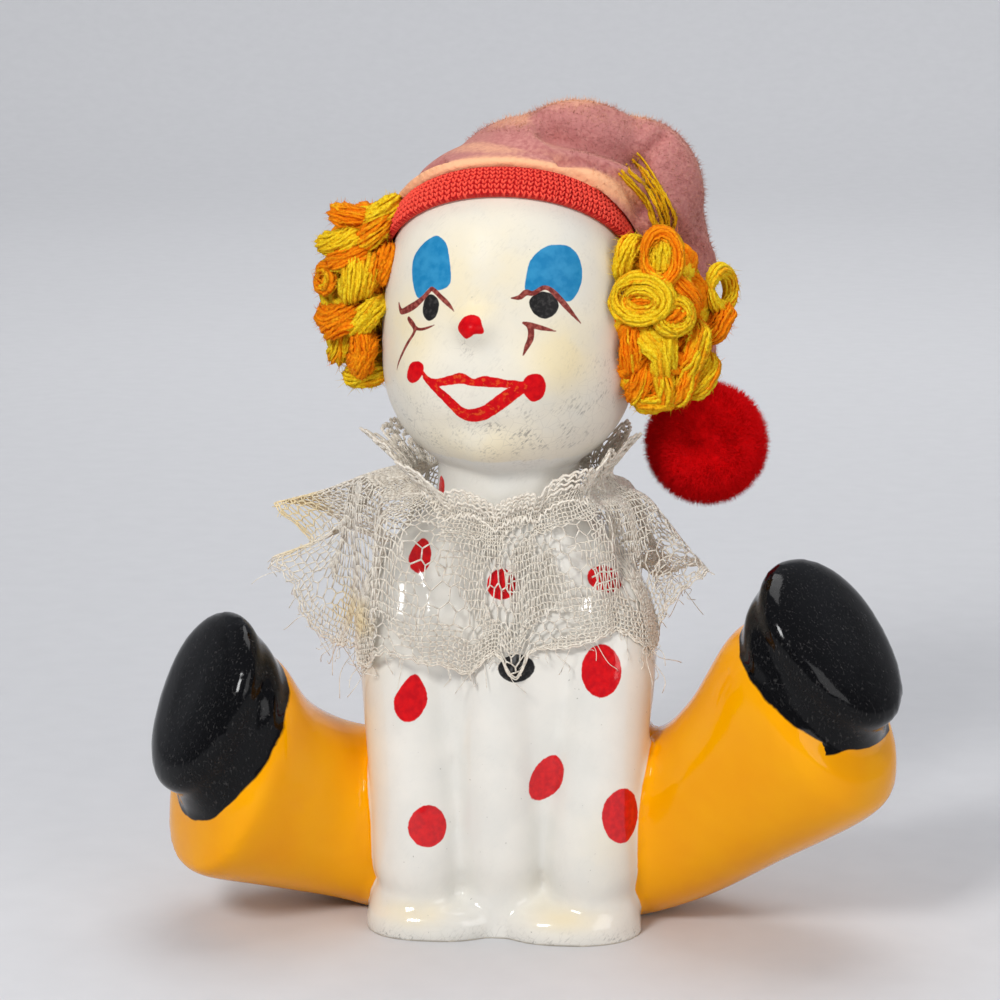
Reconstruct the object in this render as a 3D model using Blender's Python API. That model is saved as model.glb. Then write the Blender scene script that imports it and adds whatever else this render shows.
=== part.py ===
"""Seated clown figurine: a hollow-cast glazed ceramic figure with soft trimmings.

Metres, +Z up, the figure faces -Y, and the origin is on the floor below its body.
"""
import math

import bmesh
import bpy
from mathutils import Matrix, Vector

# Driving dimensions, in metres
FIGURE_HEIGHT = 0.106
FIT_GAP = 0.0004
FELT_THICKNESS = 0.0013
BAND_WIDTH = 0.0047
BAND_THICKNESS = 0.0012
BAND_TILT_DEG = 38.0
POMPOM_DIAMETER = 0.0174
YARN_LOOP_THICKNESS = 0.0046
LACE_THICKNESS = 0.0011
COLLAR_FOLDS = 13
COLLAR_FOLD_DEPTH = 0.0022

# The free forms are shares of the figure's height: one share is 1 mm at the real size
SHARE = FIGURE_HEIGHT / 106.0

# Fineness of the moulded surfaces
VOXEL = 0.75 * SHARE
FIGURE_DETAIL = 0.052
CAP_DETAIL = 0.038
HAIR_DETAIL = 0.075

# Head: an egg turned a little to the figure's right
HEAD_CENTRE = Vector((0.5, -1.0, 79.0)) * SHARE
HEAD_HALF_WIDTH = 17.4 * SHARE
HEAD_HALF_DEPTH = 17.0 * SHARE
HEAD_ABOVE = 27.0 * SHARE
HEAD_BELOW = 17.0 * SHARE
HEAD_POWER_ABOVE = 2.5
HEAD_POWER_BELOW = 2.2
HEAD_ROUNDNESS = 2.1
FACE_TURN_DEG = -10.0

# The tunic stands a little further to the figure's left than the neck, in shares
NECK_ASIDE = 0.2
NECK_LOW = 56.0
SHOULDER_DROP = 14.0
TUNIC_ASIDE = 0.7

# How far the widest part of a shoe lies towards its toe, in shares
TOE_SHIFT = 1.8

# Low swellings of the face, in shares: place across, height, lift, half width, half height
FACE_BUMPS = (
    (0.0, 84.2, 2.1, 2.3, 2.1),
    (-8.6, 77.5, 1.0, 4.6, 4.4),
    (8.6, 77.5, 1.0, 4.6, 4.4),
    (0.0, 79.0, 0.3, 7.0, 2.2),
    (0.0, 70.8, -0.4, 6.0, 1.6),
    (0.0, 66.8, 0.9, 5.0, 3.0),
)

# Tufts of yarn, in shares: clusters of centre, spread, number of loops and first turn
GOLDEN_ANGLE = math.radians(137.5)
LEFT_HAIR = (((-20.2, 1.6, 87.2), (6.6, 7.4, 14.0), 11, 0.4),)
RIGHT_HAIR = (
    ((20.6, -5.0, 83.8), (8.0, 7.8, 14.2), 11, 1.1),
    ((27.0, -1.0, 86.6), (4.6, 3.6, 6.4), 5, 0.0),
)

# Tip of the cap
POMPOM_CENTRE = Vector((27.0, 10.6, 64.8)) * SHARE

# Middle of the cap's rim, in shares
RIM_CENTRE = (0.5, 2.2, 89.0)

# Bags of the cap, in shares: centre and radii
CAP_BAGS = (
    ((3.4, 3.6, 97.6), (13.6, 14.0, 13.2)),
    ((9.0, 4.1, 101.0), (11.6, 11.6, 11.8)),
    ((16.8, 5.9, 100.6), (9.4, 9.0, 9.8)),
)

# Way of the cap's tail down to the pompom, in shares: x, y, z and radius
CAP_TAIL = (
    (18.0, 7.0, 99.0, 7.6),
    (21.2, 9.0, 93.0, 6.0),
    (23.4, 10.5, 86.0, 4.6),
    (25.0, 11.2, 79.5, 3.2),
)
CAP_TIP = (26.2, 10.8, 2.3)


def clear_scene():
    for thing in list(bpy.data.objects):
        bpy.data.objects.remove(thing, do_unlink=True)


def material(name, colour, roughness, coat=0.0):
    made = bpy.data.materials.new(name)
    made.use_nodes = True
    shader = made.node_tree.nodes["Principled BSDF"]
    shader.inputs["Base Color"].default_value = (*colour, 1.0)
    shader.inputs["Roughness"].default_value = roughness
    shader.inputs["Metallic"].default_value = 0.0
    shader.inputs["Coat Weight"].default_value = coat
    return made


def signed_power(value, power):
    return math.copysign(abs(value) ** power, value)


def ring(centre, side, rise, half_side, half_rise, power=2.0, count=32):
    """Points of one superellipse; half_rise may be a pair: towards rise, and away from it."""
    towards, away = half_rise if isinstance(half_rise, tuple) else (half_rise, half_rise)
    points = []
    for step in range(count):
        angle = math.tau * step / count
        across = half_side * signed_power(math.cos(angle), 2.0 / power)
        reach = towards if math.sin(angle) > 0 else away
        along = reach * signed_power(math.sin(angle), 2.0 / power)
        points.append(centre + side * across + rise * along)
    return points


def skin(mesh, rings):
    """Joins rings of equal count into one closed skin with flat ends."""
    rows = [[mesh.verts.new(point) for point in points] for points in rings]
    count = len(rows[0])
    for low, high in zip(rows, rows[1:]):
        for step in range(count):
            after = (step + 1) % count
            mesh.faces.new((low[step], low[after], high[after], high[step]))
    mesh.faces.new(list(reversed(rows[0])))
    mesh.faces.new(rows[-1])


def smooth_rows(rows, steps):
    """Catmull-Rom rows of numbers between the given rows."""
    padded = [rows[0]] + list(rows) + [rows[-1]]
    made = []
    for index in range(1, len(padded) - 2):
        before, start, end, after = padded[index - 1:index + 3]
        for step in range(steps):
            t = step / steps
            made.append(tuple(
                0.5 * (2 * b + (c - a) * t + (2 * a - 5 * b + 4 * c - d) * t ** 2
                       + (3 * b - a - 3 * c + d) * t ** 3)
                for a, b, c, d in zip(before, start, end, after)))
    made.append(tuple(float(value) for value in rows[-1]))
    return made


def blob(mesh, centre, radii, power=2.0, rows=12):
    """One superellipsoid, its poles along Z; its numbers are shares."""
    centre = Vector(centre) * SHARE
    rings = []
    for row in range(rows + 1):
        angle = math.pi * (row / rows - 0.5)
        angle = max(min(angle, math.pi * 0.48), -math.pi * 0.48)
        width = abs(math.cos(angle)) ** (2.0 / power)
        height = signed_power(math.sin(angle), 2.0 / power)
        rings.append(ring(
            centre + Vector((0, 0, radii[2] * height * SHARE)),
            Vector((1, 0, 0)), Vector((0, 1, 0)),
            radii[0] * width * SHARE, radii[1] * width * SHARE, power))
    skin(mesh, rings)


def round_tube(mesh, points, steps=4):
    """A round tube along rows of x, y, z and radius, in shares, in rings square to its way."""
    rows = smooth_rows(points, steps)
    centres = [Vector(row[:3]) * SHARE for row in rows]
    rings = []
    for index, (centre, row) in enumerate(zip(centres, rows)):
        ahead = centres[min(index + 1, len(centres) - 1)] - centres[max(index - 1, 0)]
        ahead.normalize()
        side = ahead.cross(Vector((0, 1, 0)))
        if side.length < 0.2:
            side = ahead.cross(Vector((1, 0, 0)))
        side.normalize()
        rings.append(ring(centre, side, ahead.cross(side), row[3] * SHARE, row[3] * SHARE, count=20))
    skin(mesh, rings)


def torso(mesh):
    """Tunic from the floor to the neck: rows of height, half width, front depth, back depth."""
    rows = smooth_rows([
        (-3.0, 16.6, 11.0, 14.2),
        (2.0, 17.0, 11.6, 14.8),
        (6.5, 16.6, 11.2, 14.8),
        (10.0, 17.4, 12.0, 15.4),
        (17.0, 18.0, 12.8, 15.6),
        (25.0, 18.8, 13.2, 15.2),
        (33.0, 19.7, 13.2, 14.8),
        (39.0, 20.1, 12.8, 14.4),
        (43.5, 19.6, 12.2, 14.0),
        (47.5, 18.2, 11.4, 13.2),
        (51.0, 16.2, 10.6, 12.2),
        (54.5, 13.6, 9.8, 11.2),
        (58.0, 10.6, 9.2, 10.2),
        (61.0, 9.7, 9.2, 9.8),
        (68.0, 9.8, 9.4, 9.8),
    ], 4)
    rings = []
    for height, half_width, front, back in rows:
        below = max(0.0, min(1.0, (NECK_LOW - height) / SHOULDER_DROP))
        centre = Vector((NECK_ASIDE + TUNIC_ASIDE * below, 0.0, height)) * SHARE
        power = 2.5 if height < 45 else 2.2
        rings.append(ring(centre, Vector((1, 0, 0)), Vector((0, 1, 0)), half_width * SHARE,
                          (back * SHARE, front * SHARE), power))
    skin(mesh, rings)


def arms_and_hands(mesh):
    """Two arms down the front of the tunic, with gathered cuffs and flat hands on the floor."""
    for way in (-1, 1):
        round_tube(mesh, [
            (way * 9.5, 0.0, 51.0, 5.5),
            (way * 12.6, -3.2, 46.0, 6.8),
            (way * 13.2 + 0.7, -6.0, 38.0, 7.2),
            (way * 12.9 + 0.8, -8.0, 29.0, 6.8),
            (way * 12.4 + 0.9, -9.4, 20.0, 6.5),
            (way * 12.0 + 0.9, -10.2, 13.0, 6.5),
            (way * 11.9 + 0.9, -10.4, 9.0, 6.4),
            (way * 11.8 + 0.9, -10.2, 6.2, 5.9),
            (way * 12.3 + 0.7, -10.0, 2.5, 6.5),
            (way * 12.4 + 0.7, -10.0, -2.0, 6.7),
        ])
        blob(mesh, (way * 9.1 + 0.2, -9.5, 1.4), (9.6, 8.4, 3.8), power=2.5)
    round_tube(mesh, [
        (0.0, -5.0, 46.0, 5.0),
        (0.0, -7.6, 38.0, 6.4),
        (0.0, -8.6, 28.0, 6.5),
        (0.0, -9.2, 17.0, 6.5),
        (0.2, -9.5, 10.4, 6.3),
        (0.2, -9.4, 6.4, 5.6),
        (0.2, -9.2, 2.5, 6.0),
        (0.2, -9.2, -2.0, 6.2),
    ])


def head_form(mesh, grow=0.0, relief=False):
    """The egg of the head, out to its surface plus grow in metres."""
    rings = []
    rows = 64 if relief else 24
    for row in range(rows + 1):
        angle = math.pi * (0.02 + 0.96 * row / rows) - math.pi / 2
        lift = math.sin(angle)
        above = lift > 0
        power = HEAD_POWER_ABOVE if above else HEAD_POWER_BELOW
        width = abs(math.cos(angle)) ** (2.0 / power)
        height = (HEAD_ABOVE if above else HEAD_BELOW) + grow
        centre = HEAD_CENTRE + Vector((0, 0, height * signed_power(lift, 2.0 / power)))
        points = ring(centre, Vector((1, 0, 0)), Vector((0, 1, 0)), (HEAD_HALF_WIDTH + grow) * width,
                      (HEAD_HALF_DEPTH + grow) * width, HEAD_ROUNDNESS, 96 if relief else 32)
        rings.append([point + face_swell(point) for point in points] if relief else points)
    skin(mesh, rings)


def face_swell(point):
    """How far the face's relief lifts a point of the egg: nose, cheeks, brows and lips."""
    offset = point - HEAD_CENTRE
    turn = math.degrees(math.atan2(offset.x, -offset.y)) - FACE_TURN_DEG
    across = math.radians(turn) * HEAD_HALF_WIDTH / SHARE
    height = point.z / SHARE
    outward = offset.copy()
    outward.z *= 0.3
    outward.normalize()
    lift = 0.0
    for side, level, amount, wide, high in FACE_BUMPS:
        lift += amount * math.exp(-((across - side) / wide) ** 2 - ((height - level) / high) ** 2)
    return outward * lift * SHARE


def head_holds(point):
    """True where the point is inside the head's egg."""
    offset = point - HEAD_CENTRE
    above = offset.z > 0
    power = HEAD_POWER_ABOVE if above else HEAD_POWER_BELOW
    height = abs(offset.z) / (HEAD_ABOVE if above else HEAD_BELOW)
    if height >= 1.0:
        return False
    width = (1.0 - height ** power) ** (1.0 / power)
    across = (abs(offset.x / HEAD_HALF_WIDTH) ** HEAD_ROUNDNESS
              + abs(offset.y / HEAD_HALF_DEPTH) ** HEAD_ROUNDNESS)
    return across ** (1.0 / HEAD_ROUNDNESS) < width


def tilted_axes(turn_deg, rise_deg):
    """Facing, upright and sideways directions of a hem or sole turned out and tipped up."""
    turn, rise = math.radians(turn_deg), math.radians(rise_deg)
    facing = Vector((math.sin(turn) * math.cos(rise), -math.cos(turn) * math.cos(rise), math.sin(rise)))
    upright = Vector((-math.sin(turn) * math.sin(rise), math.cos(turn) * math.sin(rise), math.cos(rise)))
    return facing, upright, facing.cross(upright)


def leg(mesh, rows, steps=5):
    """Flared trouser leg: rows of x, y, z, turn, rise, half height, half width."""
    rings = []
    for x, y, z, turn_deg, rise_deg, half_height, half_width in smooth_rows(rows, steps):
        facing, upright, sideways = tilted_axes(turn_deg, rise_deg)
        rings.append(ring(Vector((x, y, z)) * SHARE, sideways, upright,
                          half_width * SHARE, half_height * SHARE, 2.2))
    skin(mesh, rings)


def shoe(mesh, sole_centre, turn_deg, rise_deg, sag):
    """Egg-shaped shoe, toe up: upper, shallow welt and domed sole, by distance out from the sole.

    sag is how far the upper lies lower than the sole, as a share of each row's drop.
    """
    facing, upright, sideways = tilted_axes(turn_deg, rise_deg)
    rings = []
    for out, half_height, half_width, drop in (
            (-11.0, 9.0, 7.5, 3.6), (-8.8, 11.2, 9.7, 3.2), (-6.8, 12.4, 10.8, 2.4),
            (-5.4, 12.7, 11.0, 1.8), (-4.3, 12.5, 10.6, 1.2), (-3.4, 12.3, 10.2, 0.8),
            (-2.7, 12.4, 10.2, 0.4), (-1.6, 12.8, 10.6, 0.1), (-0.5, 12.8, 10.6, 0.0),
            (0.6, 11.8, 9.6, 0.0), (1.4, 9.2, 7.3, 0.0), (1.8, 4.8, 3.8, 0.0)):
        centre = Vector(sole_centre) + facing * out + upright * (TOE_SHIFT - sag * drop)
        reaches = ((half_height - TOE_SHIFT) * SHARE, (half_height + TOE_SHIFT) * SHARE)
        rings.append(ring(centre * SHARE, sideways, upright, half_width * SHARE, reaches, 2.1))
    skin(mesh, rings)


def legs_and_shoes(mesh):
    leg(mesh, [
        (-5.0, 2.4, 11.4, -88.0, 0.0, 12.6, 11.0),
        (-15.0, 1.2, 11.4, -84.0, 2.0, 13.0, 11.4),
        (-23.5, -1.0, 13.4, -74.0, 8.0, 12.4, 11.4),
        (-31.0, -6.8, 17.6, -60.0, 17.0, 13.4, 12.0),
        (-36.4, -12.6, 22.7, -54.0, 25.0, 15.6, 12.6),
        (-37.5, -13.6, 25.0, -54.0, 25.0, 14.7, 12.1),
        (-37.9, -14.0, 27.2, -54.0, 25.0, 12.5, 10.6),
        (-38.1, -14.2, 28.2, -54.0, 25.0, 9.0, 8.0),
    ])
    shoe(mesh, (-40.4, -17.0, 33.1), -53.0, 25.0, 1.2)
    leg(mesh, [
        (5.0, 2.4, 11.4, 88.0, 0.0, 12.6, 11.0),
        (15.0, 1.2, 11.4, 84.0, 3.0, 13.0, 11.4),
        (24.5, -1.6, 14.6, 75.0, 14.0, 12.4, 11.6),
        (33.2, -7.0, 21.9, 64.0, 30.0, 12.8, 12.0),
        (41.2, -12.4, 30.8, 58.0, 41.0, 15.2, 12.8),
        (43.4, -14.8, 34.4, 58.0, 41.0, 14.2, 12.1),
        (43.7, -15.3, 37.0, 58.0, 41.0, 12.0, 10.6),
        (43.7, -15.5, 38.2, 58.0, 41.0, 8.8, 8.0),
    ])
    shoe(mesh, (45.6, -16.8, 43.7), 56.0, 40.0, 0.9)


def cap_form(mesh, grow=0.0):
    """Felt stocking cap: it hugs the head above its rim, bags over, folds aside and hangs down."""
    felt = FIT_GAP + FELT_THICKNESS + grow
    top = head_top()
    rim = BAND_WIDTH + FIT_GAP - grow
    rings = []
    for row in range(13):
        height = rim + (top - rim) * math.sin(math.pi / 2 * row / 12)
        reaches = [head_reach(math.tau * step / 48, min(height, top * 0.999)) for step in range(48)]
        lift = band_axes()[3] * (felt * row / 12)
        rings.append([start + lift + outward * (reach + felt) for start, outward, reach in reaches])
    skin(mesh, rings)
    more = grow / SHARE
    for centre, radii in CAP_BAGS:
        blob(mesh, centre, tuple(radius + more for radius in radii))
    tip_x, tip_y, tip_radius = CAP_TIP
    tip_height = (POMPOM_CENTRE.z + POMPOM_DIAMETER / 2 + 2 * FIT_GAP) / SHARE
    tail = (*CAP_TAIL, (tip_x, tip_y, tip_height, tip_radius))
    round_tube(mesh, [(x, y, z, radius + more) for x, y, z, radius in tail])


def head_top():
    """Height of the head's surface over the middle of the rim's plane, along the rim's axis."""
    origin, _, _, upright = band_axes()
    low, high = 0.0, HEAD_ABOVE
    for _ in range(30):
        middle = (low + high) / 2
        if head_holds(origin + upright * middle):
            low = middle
        else:
            high = middle
    return low


def band_axes():
    """Origin and axes of the cap's rim: a plane tipped back from the forehead."""
    tilt = math.radians(BAND_TILT_DEG)
    upright = Vector((0.0, math.sin(tilt), math.cos(tilt)))
    back = Vector((0.0, math.cos(tilt), -math.sin(tilt)))
    return Vector(RIM_CENTRE) * SHARE, Vector((1, 0, 0)), back, upright


def head_reach(angle, height):
    """Distance from the rim's axis to the head's surface, at a height over the rim's plane."""
    origin, side, back, upright = band_axes()
    start = origin + upright * height
    outward = side * math.cos(angle) + back * math.sin(angle)
    low, high = 0.0, 2.0 * HEAD_HALF_WIDTH
    for _ in range(30):
        middle = (low + high) / 2
        if head_holds(start + outward * middle):
            low = middle
        else:
            high = middle
    return start, outward, low


def band_form(mesh, grow=0.0, around=40, up=2):
    """Knitted band round the head along the cap's rim."""
    inside, outside = [], []
    for row in range(up + 1):
        height = BAND_WIDTH * row / up
        swell = BAND_THICKNESS * (0.8 + 0.2 * math.sin(math.pi * row / up))
        inner_row, outer_row = [], []
        for step in range(around):
            start, outward, reach = head_reach(math.tau * step / around, height)
            inner_row.append(start + outward * (reach + FIT_GAP - grow))
            outer_row.append(start + outward * (reach + FIT_GAP + swell + grow))
        inside.append(inner_row)
        outside.append(outer_row)
    loop = outside + list(reversed(inside))
    rows = [[mesh.verts.new(point) for point in points] for points in loop]
    for low, high in zip(rows, rows[1:] + rows[:1]):
        for step in range(around):
            after = (step + 1) % around
            mesh.faces.new((low[step], low[after], high[after], high[step]))


def yarn_tuft(mesh, clusters):
    """Fat yarn loops wound round the core of each cluster."""
    fat = 0.7 * YARN_LOOP_THICKNESS / SHARE
    for centre, spread, loops, first_turn in clusters:
        for index in range(loops):
            turn = first_turn + index * GOLDEN_ANGLE
            level = (index + 0.5) / loops * 2 - 1
            width = 0.62 * math.sqrt(1 - level ** 2)
            place = (centre[0] + spread[0] * width * math.cos(turn),
                     centre[1] + spread[1] * width * math.sin(turn),
                     centre[2] + spread[2] * 0.76 * level)
            blob(mesh, place, (fat, fat, 0.9 * fat))
        blob(mesh, centre, (spread[0] * 0.72, spread[1] * 0.72, spread[2] * 0.82))


def collar_point(turn, row, lift):
    """Point of the lace: turn round the neck, row from the frill's top to the hem, lift off it."""
    front = max(0.0, math.cos(turn)) ** 2
    side = abs(math.sin(turn))
    left = max(0.0, -math.sin(turn)) ** 2
    right = max(0.0, math.sin(turn)) ** 2
    rows = [
        (66.4 - 7.0 * front, 14.0 + 3.4 * side + 2.0 * left, 0.35),
        (60.4 - 1.6 * front, 12.4, 0.18),
        (59.4 - 3.0 * front + 1.2 * left, 16.0 + 1.6 * left, 0.3),
        (56.2 - 4.4 * front + 2.4 * left, 17.6 + 3.0 * side + 4.0 * left, 0.6),
        (51.6 - 6.4 * front + 2.6 * left + 0.8 * right, 18.8 + 4.6 * side + 7.0 * left, 0.85),
        (46.4 - 8.0 * front + 1.2 * left + 2.0 * right, 19.8 + 6.0 * side + 7.4 * left, 1.0),
    ]
    height, radius, wave = rows[row]
    radius = radius * SHARE + COLLAR_FOLD_DEPTH * wave * math.cos(COLLAR_FOLDS * turn)
    height = height * SHARE + 0.3 * COLLAR_FOLD_DEPTH * wave * math.sin(COLLAR_FOLDS * turn + 1.0)
    return Vector(((radius + lift) * math.sin(turn), -(radius + lift) * math.cos(turn), height))


def collar_form(mesh):
    """Gathered lace ring: two skins a lace's thickness apart, closed at both edges."""
    half = LACE_THICKNESS / 2
    around = 4 * COLLAR_FOLDS
    rows = 6
    loop = [(row, half) for row in range(rows)] + [(row, -half) for row in reversed(range(rows))]
    rings = []
    for row, lift in loop:
        rings.append([mesh.verts.new(collar_point(math.tau * step / around, row, lift))
                      for step in range(around)])
    for low, high in zip(rings, rings[1:] + rings[:1]):
        for step in range(around):
            after = (step + 1) % around
            mesh.faces.new((low[step], low[after], high[after], high[step]))


def make_object(name, forms, made_of=None):
    """One object from functions that each add a closed form to its mesh."""
    mesh = bmesh.new()
    for form in forms:
        form(mesh)
    bmesh.ops.recalc_face_normals(mesh, faces=mesh.faces)
    data = bpy.data.meshes.new(name)
    mesh.to_mesh(data)
    mesh.free()
    thing = bpy.data.objects.new(name, data)
    bpy.context.scene.collection.objects.link(thing)
    if made_of:
        data.materials.append(made_of)
        data.shade_smooth()
    else:
        thing.hide_render = True
        thing.display_type = "WIRE"
    return thing


def melt(thing, voxel, passes, detail):
    """Joins an object's forms into one soft skin and thins it out."""
    remesh = thing.modifiers.new("join", "REMESH")
    remesh.mode = "VOXEL"
    remesh.voxel_size = voxel
    remesh.use_smooth_shade = True
    soften = thing.modifiers.new("soften", "SMOOTH")
    soften.factor = 0.5
    soften.iterations = passes
    thin = thing.modifiers.new("thin", "DECIMATE")
    thin.ratio = detail


def cut(thing, cutter):
    modifier = thing.modifiers.new("cut " + cutter.name, "BOOLEAN")
    modifier.operation = "DIFFERENCE"
    modifier.solver = "EXACT"
    modifier.object = cutter


def slab(mesh, centre, size):
    """A plain block, used as a cutter."""
    placed = Matrix.Translation(centre) @ Matrix.Diagonal((*size, 1.0))
    bmesh.ops.create_cube(mesh, size=1.0, matrix=placed)


def build():
    clear_scene()
    wide = 4.0 * FIGURE_HEIGHT

    figure = make_object(
        "figure", [torso, arms_and_hands, lambda mesh: head_form(mesh, relief=True), legs_and_shoes],
        material("glazed ceramic", (0.86, 0.84, 0.79), 0.12, 0.5))
    melt(figure, VOXEL, 4, FIGURE_DETAIL)
    floor = make_object("floor_cutter", [
        lambda mesh: slab(mesh, Vector((0, 0, -wide / 2)), (wide, wide, wide))])
    cut(figure, floor)

    head_cutter = make_object("head_cutter", [lambda mesh: head_form(mesh, FIT_GAP)])
    band_cutter = make_object("band_cutter", [lambda mesh: band_form(mesh, FIT_GAP)])

    hat = make_object("hat", [cap_form], material("pink felt", (0.66, 0.30, 0.28), 0.95))
    melt(hat, VOXEL, 5, CAP_DETAIL)
    for cutter in (head_cutter, band_cutter):
        cut(hat, cutter)

    make_object("hat_band", [band_form], material("coral knit", (0.72, 0.08, 0.06), 0.9))

    make_object("pompom", [lambda mesh: bmesh.ops.create_icosphere(
        mesh, subdivisions=3, radius=POMPOM_DIAMETER / 2, matrix=Matrix.Translation(POMPOM_CENTRE))],
        material("red chenille", (0.55, 0.0, 0.01), 0.95))

    cap_cutter = make_object("cap_cutter", [lambda mesh: cap_form(mesh, FIT_GAP)])
    melt(cap_cutter, VOXEL, 5, CAP_DETAIL)
    yarn = material("yellow yarn", (0.85, 0.50, 0.05), 0.9)
    for name, clusters in (("hair_left", LEFT_HAIR), ("hair_right", RIGHT_HAIR)):
        tuft = make_object(name, [lambda mesh: yarn_tuft(mesh, clusters)], yarn)
        melt(tuft, VOXEL, 2, HAIR_DETAIL)
        for cutter in (head_cutter, band_cutter, cap_cutter):
            cut(tuft, cutter)

    make_object("collar", [collar_form], material("cotton lace", (0.62, 0.60, 0.55), 0.9))


build()
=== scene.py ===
"""Looks of a seated clown figurine: glazed ceramic with a painted face, a felt cap with a knitted
band, yarn hair, a chenille pompom and a frayed lace collar.

Forms are worked out in shares of the figure's height, one share being 1 mm at the real size.
The figure faces -Y.
"""
import math

import bmesh
import bpy
import numpy as np
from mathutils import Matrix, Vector
from mathutils.bvhtree import BVHTree


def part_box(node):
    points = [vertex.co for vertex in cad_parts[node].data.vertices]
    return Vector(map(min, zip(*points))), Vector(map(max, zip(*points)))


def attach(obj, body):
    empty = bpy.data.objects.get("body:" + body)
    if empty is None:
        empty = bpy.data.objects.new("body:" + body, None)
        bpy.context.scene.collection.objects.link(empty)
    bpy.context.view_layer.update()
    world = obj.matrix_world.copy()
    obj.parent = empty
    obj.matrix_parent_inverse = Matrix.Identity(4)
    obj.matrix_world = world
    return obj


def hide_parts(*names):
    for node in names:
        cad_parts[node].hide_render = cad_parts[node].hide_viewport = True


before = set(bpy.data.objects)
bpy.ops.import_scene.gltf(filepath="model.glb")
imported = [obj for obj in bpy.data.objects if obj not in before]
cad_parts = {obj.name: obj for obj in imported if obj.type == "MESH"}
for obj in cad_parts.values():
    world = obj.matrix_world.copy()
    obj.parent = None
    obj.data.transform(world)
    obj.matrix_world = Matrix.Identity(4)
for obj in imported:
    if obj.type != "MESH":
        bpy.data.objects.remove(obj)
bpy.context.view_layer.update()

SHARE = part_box("figure")[1].z / 106.0
SEED = 7

# Fits, in shares
FIT_GAP = 0.4
FELT_THICKNESS = 1.3
BAND_WIDTH = 4.7
BAND_THICKNESS = 1.2
BAND_TILT = math.radians(38.0)

# Head: an egg turned a little to the figure's right
HEAD_CENTRE = np.array([0.5, -1.0, 79.0])
HEAD_HALF_WIDTH = 17.4
HEAD_HALF_DEPTH = 17.0
HEAD_ABOVE = 27.0
HEAD_BELOW = 17.0
HEAD_POWER_ABOVE = 2.5
HEAD_POWER_BELOW = 2.2
HEAD_ROUNDNESS = 2.1
FACE_TURN_DEG = -10.0

# The tunic stands a little further to the figure's left than the neck
NECK_ASIDE = 0.2
NECK_LOW = 56.0
SHOULDER_DROP = 14.0
TUNIC_ASIDE = 0.7

# Shoes: middle of the sole, turn and rise in degrees
LOWER_SHOE = ((-40.4, -17.0, 33.1), -53.0, 25.0)
RAISED_SHOE = ((45.6, -16.8, 43.7), 56.0, 40.0)

# How far the widest part of a shoe lies towards its toe
TOE_SHIFT = 1.8

# Low swellings of the face: place across, height, lift, half width, half height
FACE_BUMPS = (
    (0.0, 84.2, 2.1, 2.3, 2.1),
    (-8.6, 77.5, 1.0, 4.6, 4.4),
    (8.6, 77.5, 1.0, 4.6, 4.4),
    (0.0, 79.0, 0.3, 7.0, 2.2),
    (0.0, 70.8, -0.4, 6.0, 1.6),
    (0.0, 66.8, 0.9, 5.0, 3.0),
)

POMPOM_LOW, POMPOM_HIGH = (np.array(corner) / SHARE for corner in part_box("pompom"))
POMPOM_CENTRE = (POMPOM_LOW + POMPOM_HIGH) / 2
POMPOM_RADIUS = (POMPOM_HIGH[2] - POMPOM_LOW[2]) / 2

# Fineness of the moulded surfaces, and how many points the band has round and up
GLAZE_VOXEL = 0.67
FELT_VOXEL = 0.42
BAND_GRID = (880, 36)

# How many fibres there are
NAP_FIBRES = 28000
POMPOM_FIBRES = 22000
LACE_FUZZ = 2500
LACE_LOOSE_ENDS = 190

# Value of a painted area's field well outside it
OUTSIDE = -9.0

# The head's paint is over this height
HEAD_FROM = 62.0

# How far across the trousers' and the shoes' paint starts, and how low the black reaches
TROUSERS_FROM = 12.0
SHOES_FROM = 24.0
LOWER_BLACK_FROM = 19.3
RAISED_BLACK_FROM = 30.0

X_AXIS = Vector((1, 0, 0))
Y_AXIS = Vector((0, 1, 0))


# Arrays and meshes

def unit(vectors):
    return vectors / np.maximum(np.linalg.norm(vectors, axis=-1, keepdims=True), 1e-9)


def smoothstep(low, high, values):
    share = np.clip((values - low) / (high - low), 0.0, 1.0)
    return share * share * (3.0 - 2.0 * share)


def bell(values, middle, width):
    return np.exp(-((values - middle) / width) ** 2)


def catmull_rom(before, start, end, after, share):
    """The smooth curve's place between start and end."""
    return 0.5 * (2 * start + (end - before) * share
                  + (2 * before - 5 * start + 4 * end - after) * share ** 2
                  + (3 * start - before - 3 * end + after) * share ** 3)


def spots(across, height, rows):
    """Sum of soft spots: place across, height, strength, half width and half height."""
    return sum(strength * bell(across, place, wide) * bell(height, level, high)
               for place, level, strength, wide, high in rows)


def curve_through(points, steps, closed=False):
    """Catmull-Rom curve through rows of numbers, as an array."""
    rows = np.asarray(points, float)
    if closed:
        padded = np.vstack([rows[-1:], rows, rows[:2]])
    else:
        padded = np.vstack([rows[:1], rows, rows[-1:]])
    shares = (np.arange(steps) / steps)[:, None]
    pieces = [catmull_rom(*four, shares) for four in zip(padded, padded[1:], padded[2:], padded[3:])]
    if not closed:
        pieces.append(rows[-1:])
    return np.vstack(pieces)


def mesh_object(name, points, faces, made_of, fields=None):
    """One smooth object from points in shares, faces of equal size and values for its points."""
    faces = np.asarray(faces, np.int32)
    data = bpy.data.meshes.new(name)
    data.vertices.add(len(points))
    data.vertices.foreach_set("co", (np.asarray(points) * SHARE).astype(np.float32).ravel())
    data.loops.add(faces.size)
    data.loops.foreach_set("vertex_index", faces.ravel())
    data.polygons.add(len(faces))
    data.polygons.foreach_set("loop_start", np.arange(0, faces.size, faces.shape[1], dtype=np.int32))
    data.update(calc_edges=True)
    return finished(name, data, made_of, fields)


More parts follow.
